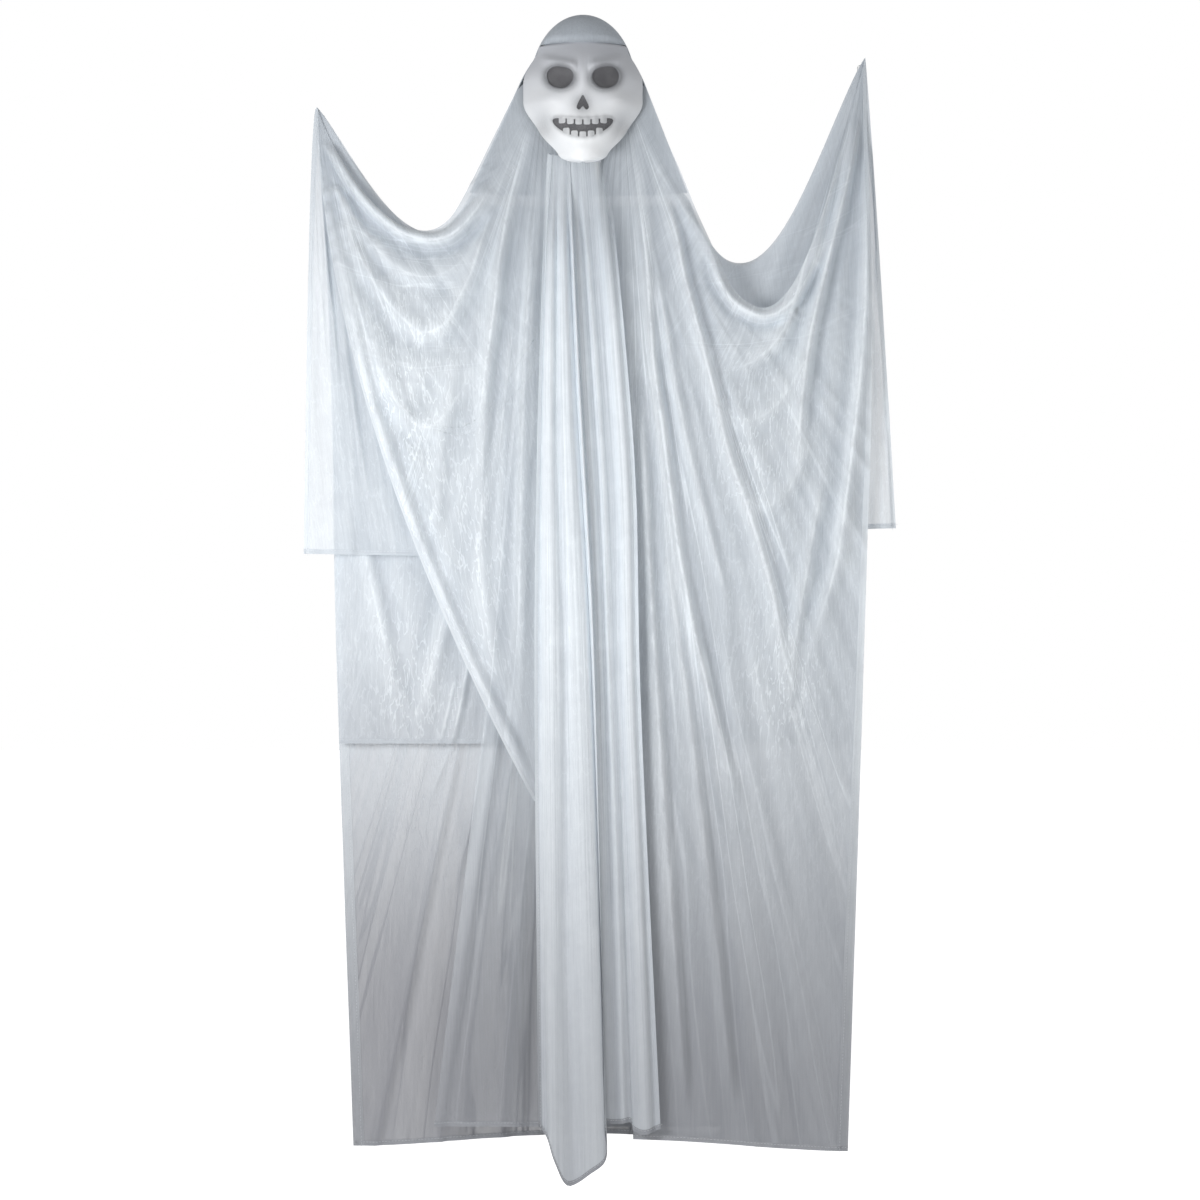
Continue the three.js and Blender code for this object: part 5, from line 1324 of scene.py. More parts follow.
def wire_tree():
    tree, given, result = new_tree("wire along a line", {
        "Radius": "Float", "Steps": "Int", "Material": "Material"})
    asked = given.outputs
    line = join(tree, "GeometryNodeMeshToCurve", {"Mesh": asked["Geometry"]})
    even = join(tree, "GeometryNodeResampleCurve", {"Curve": line.outputs[0], "Count": asked["Steps"]})
    shape = round_wire(tree, even.outputs[0], asked["Radius"], WIRE_SIDES)
    return end_tree(tree, shape, asked["Material"], result)


def seam_tree():
    tree, given, result = new_tree("seam along a line", {
        "Spacing": "Float", "Stitch": "Float", "Radius": "Float", "Material": "Material"})
    asked = given.outputs
    line = join(tree, "GeometryNodeMeshToCurve", {"Mesh": asked["Geometry"]})
    even = join(tree, "GeometryNodeResampleCurve", {"Curve": line.outputs[0], "Length": asked["Spacing"]},
                mode="LENGTH")
    length = join(tree, "ShaderNodeCombineXYZ", {"X": asked["Stitch"]})
    straight = join(tree, "GeometryNodeCurvePrimitiveLine", {"End": length.outputs[0]})
    stitch = round_wire(tree, straight.outputs[0], asked["Radius"], THREAD_SIDES)
    along = join(tree, "GeometryNodeInputTangent", {})
    turn = join(tree, "FunctionNodeAlignRotationToVector", {"Vector": along.outputs[0]}, axis="X")
    rows = join(tree, "GeometryNodeInstanceOnPoints", {
        "Points": even.outputs[0], "Instance": stitch, "Rotation": turn.outputs[0]})
    return end_tree(tree, rows.outputs[0], asked["Material"], result)


def line_of(name, points, closed=False):
    """A mesh of edges only, for a tree to work along."""
    count = len(points)
    edges = [(i, i + 1) for i in range(count - 1)] + ([(count - 1, 0)] if closed else [])
    mesh = bpy.data.meshes.new(name)
    mesh.from_pydata([tuple(p) for p in points], edges, [])
    piece = bpy.data.objects.new(name, mesh)
    bpy.context.collection.objects.link(piece)
    return piece


def grow(piece, tree, values):
    """The piece with the tree run on it, as a plain mesh."""
    work = piece.modifiers.new(tree.name, "NODES")
    work.node_group = tree
    sockets = {item.name: item.identifier for item in tree.interface.items_tree if item.in_out == "INPUT"}
    for name, value in values.items():
        work[sockets[name]] = value
    return finished(piece)


wire = wire_tree()
seam = seam_tree()
print(wire.name, len(wire.nodes), "nodes;", seam.name, len(seam.nodes), "nodes")

# %% [markdown]
# ## Hems and selvedges
# The long sides of the gauze are its selvedges, where the weft turns back and the weave is denser. The cut
# edges are turned over once and sewn. Each such edge is a strip of its own, shaped by the sheet that it
# lies on, with a row of stitches along it.

# %% Hems
SELVEDGE, HEM_BAND = 20.0, 9.0
STITCH, STITCH_STEP, THREAD = 3.6, 6.0, 0.22


def along_edge(name, edge, width):
    """A strip of a sheet's own shape along one edge: rows of points, and how far in each of them lies."""
    points = grids[name]
    points = {"left": points, "right": points[:, ::-1], "top": points.transpose(1, 0, 2),
              "bottom": points[::-1].transpose(1, 0, 2)}[edge]
    steps = np.linalg.norm(np.diff(points, axis=1), axis=-1)
    far = np.concatenate([np.zeros((len(points), 1)), np.cumsum(steps, axis=1)], axis=1)
    rows, insets = [], []
    for run, row in zip(far, points):
        inset = np.linspace(0, min(width * MM, 0.8 * run[-1]), 5)
        rows.append(np.stack([np.interp(inset, run, row[:, k]) for k in range(3)], axis=-1))
        insets.append(inset)
    return np.array(rows), np.array(insets)


def sewn_edges(name, node, edges, lift=0.8):
    """Strips along the named edges of a sheet, just in front of it, and the stitches that hold them."""
    pieces = []
    for edge, width in edges.items():
        rows, inset = along_edge(name, edge, width)
        rows[..., 1] -= lift * MM
        down = np.concatenate([[0], np.cumsum(np.linalg.norm(np.diff(rows[:, 2], axis=0), axis=-1))])
        band = cloth_object(f"{name}_{edge}_band", rows, inset, down[:, None] + 0 * inset, {})
        if edge in ("right", "top"):
            band.data.flip_normals()
        pieces.append(dress(band, double_gauze if edge in ("left", "right") else front_gauze, node))
        row = rows[:, 3].copy()
        row[:, 1] -= 2 * THREAD * MM
        stitches = grow(line_of(f"{name}_{edge}_stitches", row), seam,
                        {"Spacing": STITCH_STEP * MM, "Stitch": STITCH * MM, "Radius": THREAD * MM,
                         "Material": thread})
        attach(stitches, "ghost")
        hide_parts(node)
        pieces.append(stitches)
    print(name, "edges", *edges)
    return pieces


def cotton():
    material, nodes, surface = shader("thread", {"Roughness": 0.7})
    where = nodes.add("ShaderNodeTexCoord", None, None, 3)
    feed(nodes, surface, {"Base Color": nodes.blend(nodes.noise(where, 900.0), tint(0.6, 0.62, 0.65),
                                                    tint(0.85, 0.87, 0.9))})
    return material


thread = cotton()
print("a stitch of", STITCH, "mm each", STITCH_STEP, "mm")

# %% [markdown]
# ## Hanger and hand rings
# The steel plate ends in an eye that is rolled round the ring's straight side, and two screws hold it to
# the boss. At each hand a strip of webbing is folded round a small ring and sewn to the back of the cloth.

# %% Rings, plate, screws and tabs
PLATE_WALL, PIN_CLEARANCE = 1.5, 0.4
RING_WIRE, HAND_WIRE = 3.4, 1.8
RING_STEPS = 72


def ring_line(low, high, wire_size):
    """The centre line of a D-shaped ring that fills a box, in pattern millimetres."""
    inset = wire_size / 2
    left, right, base, top = low[0] + inset, high[0] - inset, low[2] + inset, high[2] - inset
    radius, corner = (right - left) / 2, (right - left) / 6
    arch = round_outline(((left + right) / 2, top - radius), radius)[:25]
    quarter = [(math.cos(t), math.sin(t)) for t in np.linspace(np.pi, 1.5 * np.pi, 7)]
    foot_left = [(left + corner + corner * c, base + corner + corner * s) for c, s in quarter]
    foot_right = [(left + right - x, z) for x, z in reversed(foot_left)]
    x, z = np.array([*arch, *foot_left, *foot_right]).T
    return placed(x, (low[1] + high[1]) / 2, z)


def make_ring(name, node, body, wire_size):
    line = line_of(name, ring_line(*node_corners(node), wire_size), closed=True)
    ring = grow(line, wire, {"Radius": wire_size / 2 * MM, "Steps": RING_STEPS, "Material": steel})
    put_outward(ring)
    smooth(ring, 50)
    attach(ring, body)
    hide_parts(node)


def strip(name, line, width, at_x):
    """A strip of even thickness: its outline in depth and height, run across the width."""
    count = len(line)
    points = np.concatenate([placed(at_x + side * width / 2, *np.array(line).T) for side in (-1, 1)])
    following = [(i + 1) % count for i in range(count)]
    faces = [list(range(count)), list(range(2 * count - 1, count - 1, -1))]
    faces += [[i + count, j + count, j, i] for i, j in zip(range(count), following)]
    piece = solid(name, points, faces)
    put_outward(piece)
    return piece


def eye_profile(low, high, wall, radius):
    """A flat leg that rolls over into an eye and fills a box, as (depth, height) points of its outline."""
    outer = radius + wall
    pin_y, pin_z = low[1] + outer, high[2] - outer
    turns = np.linspace(np.pi, -np.pi * 0.9, 30)
    outside = [(pin_y + outer * math.cos(t), pin_z + outer * math.sin(t)) for t in turns]
    inside = [(pin_y + radius * math.cos(t), pin_z + radius * math.sin(t)) for t in reversed(turns)]
    return [(low[1], low[2]), *outside, *inside, (low[1] + wall, low[2])]


def rounded(piece, size, segments=3):
    edge = piece.modifiers.new("edge", "BEVEL")
    edge.width, edge.segments, edge.limit_method, edge.angle_limit = size * MM, segments, "ANGLE", 0.7
    return smooth(finished(piece), 40)


def make_plate():
    low, high = node_corners("hanger_plate")
    outline = eye_profile(low, high, PLATE_WALL, RING_WIRE / 2 + PIN_CLEARANCE)
    plate = strip("eye_plate", outline, high[0] - low[0], 0)
    for z in SCREW_HEIGHTS:
        cut(plate, [prism(round_outline((0, z), SCREW_HOLE, 32), low[1] - 5, low[1] + 8)])
    rounded(plate, 0.35)
    plate.data.materials.append(steel)
    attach(plate, "ghost")
    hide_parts("hanger_plate")


def make_screw(name, node):
    """A pan-head screw with a cross recess."""
    low, high = node_corners(node)
    x, z = (low[0] + high[0]) / 2, (low[2] + high[2]) / 2
    under, top = high[1] - 2.0, high[1]
    profile = [(0.8, low[1] + 1), (1.6, low[1] + 3), (1.6, under), (3.6, under), (3.6, under + 0.8),
               (3.1, top - 0.5), (1.8, top - 0.05)]
    turn = np.linspace(0, 2 * np.pi, 40, endpoint=False)
    points = np.array([placed(x + r * np.cos(turn), y, z + r * np.sin(turn)) for r, y in profile])
    screw = rings(name, points, placed(x, low[1], z), placed(x, top, z))
    put_outward(screw)
    for across, up in ((2.2, 0.4), (0.4, 2.2)):
        cut(screw, [box_at((x - across, top - 0.9, z - up), (x + across, top + 1, z + up))])
    smooth(screw, 35)
    screw.data.materials.append(steel)
    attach(screw, "ghost")
    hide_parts(node)


def make_tab(name, node):
    """Webbing folded round a hand ring's straight side, with both legs sewn together below it."""
    low, high = node_corners(node)
    radius = HAND_WIRE / 2 + PIN_CLEARANCE
    outline = eye_profile(low, high, (high[1] - low[1]) / 2 - radius, radius)
    tab = strip(name, outline, high[0] - low[0], (low[0] + high[0]) / 2)
    rounded(tab, 0.15, 2)
    tab.data.materials.append(webbing)
    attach(tab, "ghost")
    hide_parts(node)


make_ring("ring_head", "hanger_ring", "head_ring", RING_WIRE)
make_ring("ring_left_hand", "left_hand_ring", "left_ring", HAND_WIRE)
make_ring("ring_right_hand", "right_hand_ring", "right_ring", HAND_WIRE)
make_plate()
make_screw("screw_high", "hanger_screw_1")
make_screw("screw_low", "hanger_screw_2")
make_tab("tab_left", "left_hand_tab")
make_tab("tab_right", "right_hand_tab")
print("three rings, a plate, two screws and two tabs")

# %% [markdown]
# ## The back robe
# The widest length goes from hand to hand behind the head, lies over the back of the hood and falls to the
# hem. Its pleats fan out from both hands and from the neck.

# %% Back robe
def back_depth(layer, rise, x, z):
    """The back robe lies over the back of the hood, and comes back to its own depth below it."""
    free = hand_depth(layer, rise, x, z)
    width, _, back, middle = hood_section(np.minimum(-z, HOOD_HEM))
    aside = np.clip(np.abs(x - middle) / width, 0, 1)
    over = (back * np.sqrt(1 - aside * aside) + ROBE_REST) * (1 - ease(-z, HOOD_HEM, HOOD_HEM + ROBE_FALL))
    lifted = np.maximum(free, over) + ROBE_SOFTNESS * np.log(1 + np.exp(-np.abs(free - over) / ROBE_SOFTNESS))
    return mix(free, lifted, 1 - ease(aside, 0.8, 1))


def hem_at(x, level):
    middle, half = (ROBE_HEM_LEFT + ROBE_HEM_RIGHT) / 2, (ROBE_HEM_RIGHT - ROBE_HEM_LEFT) / 2
    aside = (x - middle) / half
    return level + HEM_RISE * (1 - aside * aside) ** 2


def hem(start, end, level):
    def line(t):
        x = mix(start, end, t)
        return np.stack([x, hem_at(x, level)])
    return line


def robe_top(middle):
    def line(t):
        x = mix(HAND_LEFT[0], HAND_RIGHT[0], t)
        over = (x - SHOULDER_LEFT[0]) / (SHOULDER_RIGHT[0] - SHOULDER_LEFT[0])
        base = mix(SHOULDER_LEFT[1], SHOULDER_RIGHT[1], over)
        head = mix(base, middle, np.sin(np.pi * np.clip(over, 0, 1)))
        left = swag(x, HAND_LEFT, BACK_SWAG_LEFT, SHOULDER_LEFT, 1.15, 1.8)
        right = swag(x, HAND_RIGHT, BACK_SWAG_RIGHT, SHOULDER_RIGHT, 1.2, 2.2)
        return np.stack([x, np.where(over <= 0, left, np.where(over >= 1, right, head))])
    return line


def fan(start, first, last, count, widths, rise, lean=0.8, keen=0.0):
    """Folds that spread from one place to evenly spaced ones on a line, and run on past it."""
    for share in np.linspace(0, 1, count):
        end = mix(np.array(first), np.array(last), share)
        yield [start, tuple(mix(np.array(start), end, 1.4))], widths, rise, lean, (0.12, 0.7), 2, keen


NECK = (0, -230)
ROBE_CREASES = [
    # short keen folds that run on from the cape's hem
    ([(-200, -1130), (-232, -1290), (-290, -1450)], (7, 10), 7, 0.7, (0.12, 0.7), 2, 1.0),
    ([(-166, -1200), (-192, -1400), (-236, -1600)], (7, 10), 7, 0.7, (0.12, 0.7), 2, 1.0),
    ([(-120, -1300), (-150, -1480), (-178, -1640)], (7, 10), 6, 0.7, (0.12, 0.7), 2, 1.0),
    ([(-228, -1180), (-250, -1280), (-268, -1340)], (6, 8), 5, 0.7, (0.12, 0.7), 2, 1.0),
]
ROBE_FOLDS = [
    *fan(HAND_LEFT, (-400, -760), (-120, -560), 3, (12, 30), 9),
    *fan(HAND_RIGHT, (430, -700), (150, -520), 3, (12, 30), 9),
    *fan(NECK, (ROBE_HEM_LEFT + 40, ROBE_HEM), (ROBE_HEM_RIGHT - 40, ROBE_HEM), 8, (9, 13), 7, 0.8, 0.7),
    *ROBE_CREASES,
]


def creases_between_hands(x, z, sag_reach, from_neck=1.0):
    """The fine creases of a sheet that hangs from both hands and the neck."""
    sides = [fans_and_sags(x, z, hand, NECK, sag_reach) for hand in (HAND_LEFT, HAND_RIGHT)]
    marks = {}
    for kind in ("hand_fan", "neck_fan", "sag"):
        across, along, strength = (np.where(x < 0, *parts) for parts in zip(*(side[kind] for side in sides)))
        strength = strength * (from_neck if kind == "neck_fan" else ease(np.abs(x), 30, 160))
        marks[kind] = (across, along, strength)
    return marks


def robe_folds(x, z, u, v):
    rise, marks = folds_along(x, z, ROBE_FOLDS)
    rise += 3 * pleats_from(x, z, HAND_LEFT, 60, 900, 11) + 3 * pleats_from(x, z, HAND_RIGHT, 60, 900, 12)
    rise += 4 * pleats_from(x, z, NECK, 150, 4600, 13, True) * ease(-z, 420, 900)
    rise += 2 * layered(Ripple(14), x / 44, z / 600) * ease(-z, 900, 1500)
    crinkle = (0.7 * around(x, z, (-300, -1420), (60, 120)) + 0.6 * around(x, z, (330, -1420), (70, 130))
               + 0.25 * ease(-z, 600, 1000) * (1 - ease(-z, 1500, 1900)))
    return rise, {**marks, **creases_between_hands(x, z, 700), "crinkle": crinkle}


def make_back_robe():
    piece = sheet("gauze_back_robe", {
        "top": robe_top(NAPE),
        "bottom": hem(ROBE_HEM_LEFT, ROBE_HEM_RIGHT, ROBE_HEM),
        "left": spline([HAND_LEFT, *ROBE_SIDE_LEFT, (ROBE_HEM_LEFT, ROBE_HEM)]),
        "right": spline([HAND_RIGHT, *ROBE_SIDE_RIGHT, (ROBE_HEM_RIGHT, ROBE_HEM)]),
    }, "back", back_depth, robe_folds, 5.0)
    dress(piece, back_gauze_painted_shade, "back_robe")


# %% [markdown]
# ## The inner robe and the front robe
# A second length goes from hand to hand as far as the knee, where its edge shows through as a step in the
# tone. A narrow third one hangs from the neck under the capes.

# %% Inner robe and front robe
def inner_top(t):
    x, z = robe_top(INNER_TOP)(t)
    in_from_hand = np.minimum(x - HAND_LEFT[0], HAND_RIGHT[0] - x)
    low = np.where(np.abs(x) < HOOD_HEM_WIDTH / 2 + 20, np.minimum(z, INNER_TOP), z)
    return np.stack([x, low - 6 * ease(in_from_hand, 0, 60)])


INNER_FOLDS = [
    ([(-452, -560), (-405, -900), (-360, -1120), (-322, -1290)], (16, 18), 13, 0.9),
    ([(-200, -900), (-250, -1080), (-300, -1290)], (14, 16), 12, -0.9),
    *ROBE_CREASES,
    ([(480, -600), (440, -900), (400, -1120), (371, -1290)], (16, 18), 13, 0.9),
]


def inner_folds(x, z, u, v):
    rise, marks = folds_along(x, z, INNER_FOLDS)
    rise += 8 * pleats_from(x, z, HAND_LEFT, 54, 1100, 21) + 8 * pleats_from(x, z, HAND_RIGHT, 54, 1100, 22)
    rise += 5 * sag_between(x, z, HAND_LEFT, (-60, -260), 90, 1500, 23) * (x < 0)
    rise += 5 * sag_between(x, z, HAND_RIGHT, (60, -260), 90, 1500, 24) * (x >= 0)
    rise += 5 * crumple(x, z, (-318, -1220), (50, 110), 18, 26)
    rise += 4 * pleats_from(x, z, NECK, 80, 2600, 25, True) * ease(-z, 500, 900)
    crinkle = around(x, z, (-312, -1200), (62, 130)) + 0.35 * ease(-z, 500, 900)
    return rise, {**marks, **creases_between_hands(x, z, 1300, 0.3), "crinkle": crinkle}


def make_inner_robe():
    low_left = (ROBE_SIDE_LEFT[1][0] + 8, INNER_HEM)
    low_right = (ROBE_SIDE_RIGHT[1][0] - 16, INNER_HEM)
    piece = sheet("gauze_inner_robe", {
        "top": inner_top,
        "bottom": between(low_left, low_right),
        "left": spline([HAND_LEFT, ROBE_SIDE_LEFT[0], low_left]),
        "right": spline([HAND_RIGHT, ROBE_SIDE_RIGHT[0], low_right]),
    }, "inner", hand_depth, inner_folds, 4.5)
    dress(piece, back_gauze_painted_shade, "inner_robe")


def front_robe_depth(layer, rise, x, z):
    _, hang, forward, back = LAYERS[layer]
    free = ease(-z, -FRONT_ROBE_TOP + 10, -FRONT_ROBE_TOP + 160)
    return hang - limited(rise, forward, back) * free


FRONT_ROBE_FOLDS = list(fan((0, -230), (FRONT_ROBE_HEM_LEFT, FRONT_ROBE_HEM),
                            (FRONT_ROBE_HEM_RIGHT, FRONT_ROBE_HEM), 5, (12, 22), 8))


def front_robe_folds(x, z, u, v):
    rise, marks = folds_along(x, z, FRONT_ROBE_FOLDS)
    rise += 3 * layered(Ripple(31), u * 20, v * 2.2, 2)
    return rise, {**marks, **creases_between_hands(x, z, 700)}


def make_front_robe():
    left, right = (-FRONT_ROBE_NECK, FRONT_ROBE_TOP), (FRONT_ROBE_NECK, FRONT_ROBE_TOP)
    low_left = (FRONT_ROBE_HEM_LEFT, FRONT_ROBE_HEM)
    low_right = (FRONT_ROBE_HEM_RIGHT, FRONT_ROBE_HEM)
    piece = sheet("gauze_front_robe", {
        "top": between(left, right), "bottom": between(low_left, low_right),
        "left": between(left, low_left), "right": between(right, low_right),
    }, "front_robe", front_robe_depth, front_robe_folds, 6.0)
    dress(piece, thin_gauze, "front_robe")


# %% [markdown]
# ## The sleeves
# A half-length piece hangs straight down from each hand, with a plain hem. It is so narrow at the top that
# all its pleats start in the point of the hand.

# %% Sleeves
def make_sleeve(name, node, hand, out, inside, low, bow, seed):
    side = math.copysign(1, hand[0])
    beside_hand = (hand[0] - side * 3, hand[1] - 3)
    hem_out, hem_in = (out, low), (inside, low - 4)
    inner = between(beside_hand, hem_in)

    def outer(t):
        return np.stack([mix(hand[0], out, t ** bow), mix(hand[1], low, t)])

    if side < 0:
        edges = {"top": between(hand, beside_hand), "bottom": between(hem_out, hem_in),
                 "left": outer, "right": inner}
    else:
        edges = {"top": between(beside_hand, hand), "bottom": between(hem_in, hem_out),
                 "left": inner, "right": outer}

    def folds(x, z, u, v):
        rise = 7 * (0.6 - 2 * np.abs(layered(Ripple(seed), u * 7, v * 3, 2)))
        hand_fan = fans_and_sags(x, z, hand, NECK, 500)["hand_fan"]
        return rise, {"hand_fan": hand_fan, "crinkle": 0.3 * ease(v, 0.2, 0.6)}

    piece = sheet(name, edges, "sleeve", hand_depth, folds, 4.0)
    dress(piece, front_gauze, node)


# %% [markdown]
# ## The two capes
# Each cape is pulled up to its hand and gathered at the neck, so its top edge sags in a rolled swag, and
# nested folds hang below it between the hand and the neck. The left one is cut on a slant from the hand to
# the middle of the hem. The right one reaches the hem.

# %% Capes
def inner_edge(side, low):
    """From the mask's side, along the jaw, and down behind the middle panels."""
    jaw = [(side * x, z) for x, z in JAW]
    neck_x, neck_z = jaw[-1]
    down = [(neck_x, neck_z - drop) for drop in (40, 95, 180, 310)]
    return spline([*jaw, *down, (neck_x * 1.1, (neck_z + low[1]) / 3), low])


def cape_top(hand, low, bend, rise, cheek):
    """From the hand through the swag, and up beside the hood to the mask's side."""
    fall = [(mix(hand[0], low[0], share), mix(hand[1], low[1], math.sin(math.pi / 2 * share) ** bend))
            for share in (0.08, 0.2, 0.36, 0.55, 0.76, 1)]
    return spline([hand, *fall, *rise, cheek])


LEFT_FOLDS = [
    # the rolled edge of the swag, up to the shoulder, and the nested folds below it
    ([(-458, -233), (-438, -272), (-411, -314), (-377, -354), (-343, -383), (-309, -401), (-275, -408),
      (-241, -401), (-213, -380), (-186, -346), (-165, -312), (-144, -284)],
     (9, 15), 26, -0.9, (0.05, 0.8), 3),
    ([(-455, -262), (-425, -340), (-385, -405), (-330, -458), (-275, -474), (-225, -452), (-180, -395)],
     (10, 20), 12, -0.7),
    ([(-448, -290), (-415, -400), (-370, -490), (-310, -560), (-275, -573), (-235, -545), (-195, -480)],
     (12, 24), 14, -0.7),
    ([(-445, -330), (-410, -500), (-365, -640), (-310, -730), (-270, -740), (-225, -690), (-185, -600)],
     (14, 26), 13, -0.7),
    ([(-440, -380), (-405, -600), (-360, -790), (-315, -900), (-275, -905), (-235, -830)],
     (14, 26), 12, -0.6),
    # the bright fold beside the mask, and its neighbours
    ([(-100, -200), (-113, -263), (-127, -318), (-141, -387), (-151, -456), (-158, -525), (-168, -594),
      (-179, -677), (-192, -760)], (13, 17), 23, 0.9, (0.08, 0.6)),
    ([(-120, -225), (-140, -290), (-165, -353), (-199, -463), (-238, -545), (-270, -620)], (12, 20), 14, 0.8),
    ([(-78, -270), (-92, -420), (-104, -640), (-112, -900), (-116, -1250)], (11, 15), 13, -0.8),
    ([(-168, -560), (-178, -760), (-180, -1000), (-150, -1220)], (14, 18), 11, 0.7),
    ([(-225, -600), (-250, -760), (-258, -900), (-240, -1000)], (14, 18), 9, 0.6),
    # the band along the slanting hem
    ([(-461, -263), (-441, -415), (-384, -665), (-302, -914), (-198, -1163), (-88, -1390)], (10, 13), 12, 0.8,
     (0.05, 0.9)),
]


def left_cape_folds(x, z, u, v):
    neck = (-70, -230)
    rise, marks = folds_along(x, z, LEFT_FOLDS)
    rise += 3 * pleats_from(x, z, HAND_LEFT, 70, 900, 41, True)
    rise += 4 * pleats_from(x, z, neck, 90, 1300, 42, True)
    rise += 4 * sag_between(x, z, HAND_LEFT, neck, 105, 1700, 43)
    rise += 3 * crumple(x, z, (-310, -720), (90, 220), 20, 44)
    crinkle = (around(x, z, (-325, -700), (80, 230)) + 0.6 * around(x, z, (-200, -1000), (70, 260))
               + 0.3 * ease(-z, 350, 600))
    return rise, {**marks, **fans_and_sags(x, z, HAND_LEFT, neck, 1400), "crinkle": crinkle}


def make_left_cape():
    top = cape_top(HAND_LEFT, FRONT_SWAG_LEFT, 0.83, RISE_LEFT, (-JAW[0][0], JAW[0][1]))
    inner_low = (CAPE_POINT[0] + 28, CAPE_POINT[1] - 8)

    def slant(t):
        return np.stack([mix(HAND_LEFT[0], CAPE_POINT[0], t ** 1.72), mix(HAND_LEFT[1], CAPE_POINT[1], t)])

    piece = sheet("gauze_left_cape", {
        "top": top, "bottom": between(CAPE_POINT, inner_low),
        "left": slant, "right": inner_edge(-1, inner_low),
    }, "cape", cape_depth, left_cape_folds, 3.2)
    dress(piece, front_gauze, "left_cape")


RIGHT_FOLDS = [
    # the front edge of the swag, and folds that run down from the hand
    ([(228, -430), (243, -480), (275, -524), (325, -545), (372, -520), (415, -450), (440, -370)],
     (9, 12), 20, -0.8, (0.1, 0.8), 3),
    ([(470, -230), (425, -372), (396, -455), (374, -538), (345, -590), (300, -628), (250, -640)],
     (11, 18), 18, 0.9, (0.2, 0.75)),
    ([(497, -160), (483, -256), (455, -380), (432, -470), (407, -580), (392, -700), (380, -860)],
     (10, 16), 21, 0.9, (0.15, 0.7)),
    ([(507, -190), (510, -291), (503, -566), (483, -773), (455, -980), (414, -1118), (384, -1250)],
     (10, 18), 16, -0.8),
    ([(410, -600), (350, -700), (290, -732), (235, -700)], (16, 24), 11, 0.6),
    ([(412, -760), (365, -860), (315, -885), (270, -840)], (16, 24), 11, 0.6),
    ([(430, -830), (400, -1010), (378, -1150), (371, -1275)], (14, 16), 13, 0.7),
    # folds that fall from the neck
    ([(90, -210), (100, -290), (114, -456), (128, -635), (142, -739), (159, -876), (180, -1014), (214, -1173),
      (258, -1340), (300, -1500)], (10, 15), 18, 0.8, (0.08, 0.75)),
    ([(128, -280), (162, -380), (180, -463), (200, -539), (221, -621), (241, -704), (262, -794), (303, -911),
      (340, -1042), (362, -1180), (369, -1262)], (11, 16), 22, 0.8, (0.1, 0.8)),
    ([(100, -240), (122, -400), (148, -560), (176, -720), (225, -930), (290, -1150)], (10, 14), 12, 0.7),
    ([(96, -190), (130, -270), (180, -350), (225, -420), (262, -520)], (11, 16), 12, 0.7),
    ([(104, -700), (124, -1080), (150, -1500), (186, -1990)], (11, 14), 14, 0.8, (0.1, 0.9)),
    ([(140, -900), (185, -1220), (235, -1640), (270, -1990)], (11, 16), 12, 0.8, (0.2, 0.9)),
]


def right_cape_folds(x, z, u, v):
    neck = (70, -230)
    rise, marks = folds_along(x, z, RIGHT_FOLDS)
    rise += 3 * pleats_from(x, z, HAND_RIGHT, 70, 1000, 51, True)
    rise += 5 * pleats_from(x, z, neck, 130, 3400, 52, True) * ease(-z, 330, 700)
    rise += 4 * sag_between(x, z, HAND_RIGHT, neck, 105, 1500, 53)
    rise += 3 * crumple(x, z, (365, -1190), (60, 120), 18, 54)
    crinkle = (around(x, z, (362, -1190), (60, 130)) + 0.7 * around(x, z, (330, -760), (90, 160))
               + 0.3 * ease(-z, 450, 700) * (1 - ease(-z, 1500, 1900)))
    return rise, {**marks, **fans_and_sags(x, z, HAND_RIGHT, neck, 1300), "crinkle": crinkle}


def make_right_cape():
    from_hand = cape_top(HAND_RIGHT, FRONT_SWAG_RIGHT, 1, RISE_RIGHT, JAW[0])
    inner_low = (CAPE_HEM_INNER, float(hem_at(CAPE_HEM_INNER, ROBE_HEM)))
    piece = sheet("gauze_right_cape", {
        "top": lambda t: from_hand(1 - t), "bottom": hem(CAPE_HEM_INNER, ROBE_HEM_RIGHT, ROBE_HEM),
        "left": inner_edge(1, inner_low),
        "right": spline([HAND_RIGHT, *ROBE_SIDE_RIGHT, (ROBE_HEM_RIGHT, ROBE_HEM)]),
    }, "cape", cape_depth, right_cape_folds, 3.8)
    dress(piece, front_gauze, "right_cape")


# %% [markdown]
# ## The middle panels
# Two narrow panels are gathered under the chin and fall in long straight folds. The left one ends in the
# long point of the tail.

# %% Middle panels
# Each pleat: where it lies across the panel, its width there and its height in millimetres
TAIL_PLEATS = ((0.06, 0.05, -7), (0.28, 0.14, 11), (0.47, 0.04, -5), (0.64, 0.12, 9), (0.84, 0.06, -9),
               (0.97, 0.05, 5))
SIDE_PLEATS = ((0.12, 0.08, 8), (0.27, 0.05, -6), (0.36, 0.05, 5), (0.56, 0.11, -10), (0.8, 0.1, 11),
               (0.95, 0.04, -6))


def thin_side_at_neck(inward, down):
    """The outer side of a panel is spread so thin under the chin that it melts into the pleats behind."""
    return 0.95 * (1 - ease(inward, 0, 0.45)) * (1 - ease(down, 0.02, 0.2))


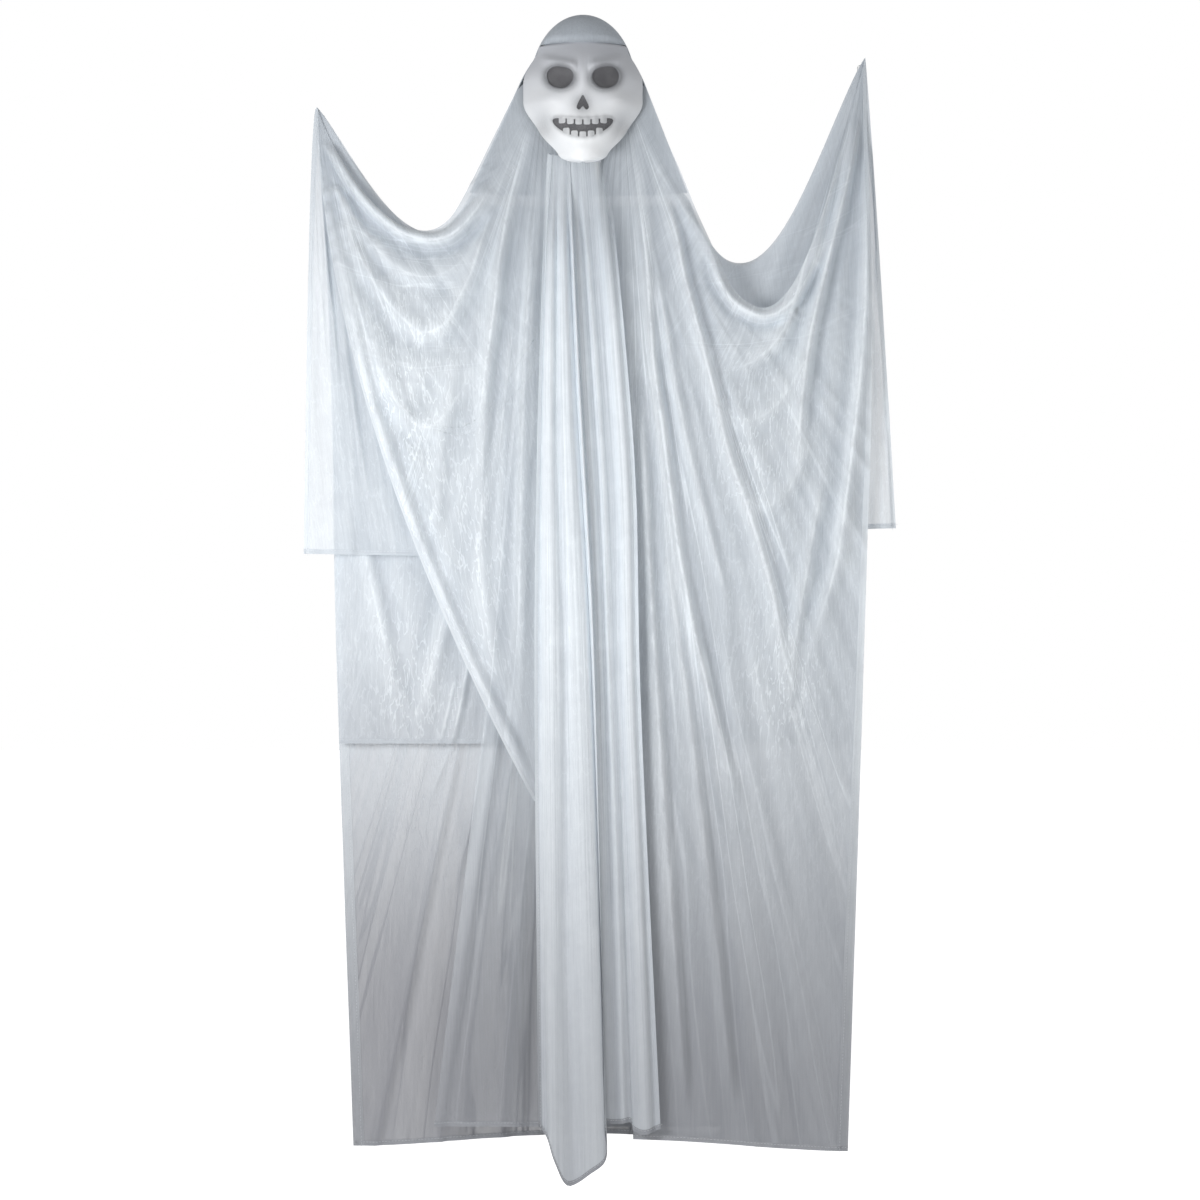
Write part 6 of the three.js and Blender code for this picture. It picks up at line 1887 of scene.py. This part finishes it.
def make_tail_panel():
    def folds(x, z, u, v):
        drift = u + 0.05 * Ripple(61)(v * 4, u * 2)
        rise = sum(height * np.exp(-((drift - at) / width) ** 2) for at, width, height in TAIL_PLEATS)
        rise += 2.5 * layered(Ripple(62), u * 11, v * 4, 2)
        return rise, {"neck_fan": (u * 1.1, v * 1.6, 1 + 0 * u), "crinkle": 0.25 * ease(v, 0.2, 0.5),
                      "thin": thin_side_at_neck(u, v)}

    first, last = (PANEL_LEFT_SIDE[0][0] + 8, PANEL_TOP), (PANEL_MIDDLE[0][0], PANEL_TOP)
    piece = sheet("gauze_tail_panel", {
        "top": between(first, last),
        "bottom": spline([PANEL_LEFT_SIDE[3], *TAIL_HEM, PANEL_MIDDLE[3]]),
        "left": spline([first, *PANEL_LEFT_SIDE]), "right": spline([last, *PANEL_MIDDLE]),
    }, "tail_panel", panel_depth(-37.7), folds, 2.6)
    dress(piece, gathered_gauze, "tail_panel")


def make_side_panel():
    def folds(x, z, u, v):
        drift = u + 0.04 * Ripple(71)(v * 4, u * 2)
        rise = sum(height * np.exp(-((drift - at) / width) ** 2) for at, width, height in SIDE_PLEATS)
        rise += 2.5 * layered(Ripple(72), u * 10, v * 4, 2)
        return rise, {"neck_fan": (u * 1.1 + 3, v * 1.6, 1 + 0 * u), "crinkle": 0.2 * ease(v, 0.2, 0.5),
                      "thin": thin_side_at_neck(1 - u, v)}

    first, last = (PANEL_MIDDLE_BACK[0][0], PANEL_TOP), (PANEL_RIGHT_SIDE[0][0] - 8, PANEL_TOP)
    piece = sheet("gauze_side_panel", {
        "top": between(first, last),
        "bottom": spline([PANEL_MIDDLE_BACK[3], *SIDE_HEM, PANEL_RIGHT_SIDE[3]]),
        "left": spline([first, *PANEL_MIDDLE_BACK]), "right": spline([last, *PANEL_RIGHT_SIDE]),
    }, "side_panel", panel_depth(-36.0), folds, 2.6)
    dress(piece, gathered_gauze, "side_panel")


# %% [markdown]
# ## Hanging it all
# The lengths are hung from the back to the front, as on the real ghost. Each one prints how many rows and
# columns its grid has: the long folds need a point every few millimetres.

# %% Hang the cloth
make_back_robe()
make_inner_robe()
make_front_robe()
make_sleeve("gauze_left_sleeve", "left_sleeve", HAND_LEFT, SLEEVE_LEFT_OUT, SLEEVE_LEFT_IN,
            SLEEVE_LEFT_HEM, 0.42, 81)
make_sleeve("gauze_right_sleeve", "right_sleeve", HAND_RIGHT, SLEEVE_RIGHT_OUT, SLEEVE_RIGHT_IN,
            SLEEVE_RIGHT_HEM, 0.9, 82)
make_left_cape()
make_right_cape()
make_tail_panel()
make_side_panel()

# %% [markdown]
# ## Edges and flat sizes
# Every sheet is listed with the flat size that it would be cut to, measured along its own threads, and
# with the edges that are sewn on it. Only the edges are made from the list; the flat sizes are not used.

# %% Edges and flat sizes
SHEETS = {
    # sheet: its CAD node, the widths of its edges, how it is held and by what, and its flat width, length
    # and area
    "gauze_back_robe": ("back_robe", {"left": SELVEDGE, "right": SELVEDGE, "bottom": HEM_BAND},
                        "hung", ["hood_cloth", "tab_left", "tab_right"], (1.54, 1.98, 1.73)),
    "gauze_inner_robe": ("inner_robe", {"bottom": HEM_BAND}, "hung", ["gauze_back_robe"], (1.41, 1.24, 0.95)),
    "gauze_front_robe": ("front_robe", {"bottom": HEM_BAND}, "gathered", ["neck_wrap"], (0.60, 1.73, 0.62)),
    "gauze_left_sleeve": ("left_sleeve", {"left": HEM_BAND, "bottom": HEM_BAND},
                          "hung", ["gauze_back_robe"], (0.26, 0.84, 0.11)),
    "gauze_right_sleeve": ("right_sleeve", {"right": HEM_BAND, "bottom": HEM_BAND},
                           "hung", ["gauze_back_robe"], (0.18, 0.86, 0.08)),
    "gauze_left_cape": ("left_cape", {"left": HEM_BAND},
                        "hung", ["mask", "gauze_back_robe"], (0.67, 1.33, 0.35)),
    "gauze_right_cape": ("right_cape", {"right": SELVEDGE, "bottom": HEM_BAND},
                         "hung", ["mask", "gauze_back_robe"], (0.99, 1.98, 0.84)),
    "gauze_tail_panel": ("tail_panel", {"left": HEM_BAND, "bottom": HEM_BAND},
                         "gathered", ["neck_wrap"], (0.28, 1.85, 0.22)),
    "gauze_side_panel": ("side_panel", {"bottom": HEM_BAND}, "gathered", ["neck_wrap"], (0.15, 1.76, 0.20)),
}
for name, (node, edges, held, holder, (width, length, area)) in SHEETS.items():
    sewn_edges(name, node, edges)
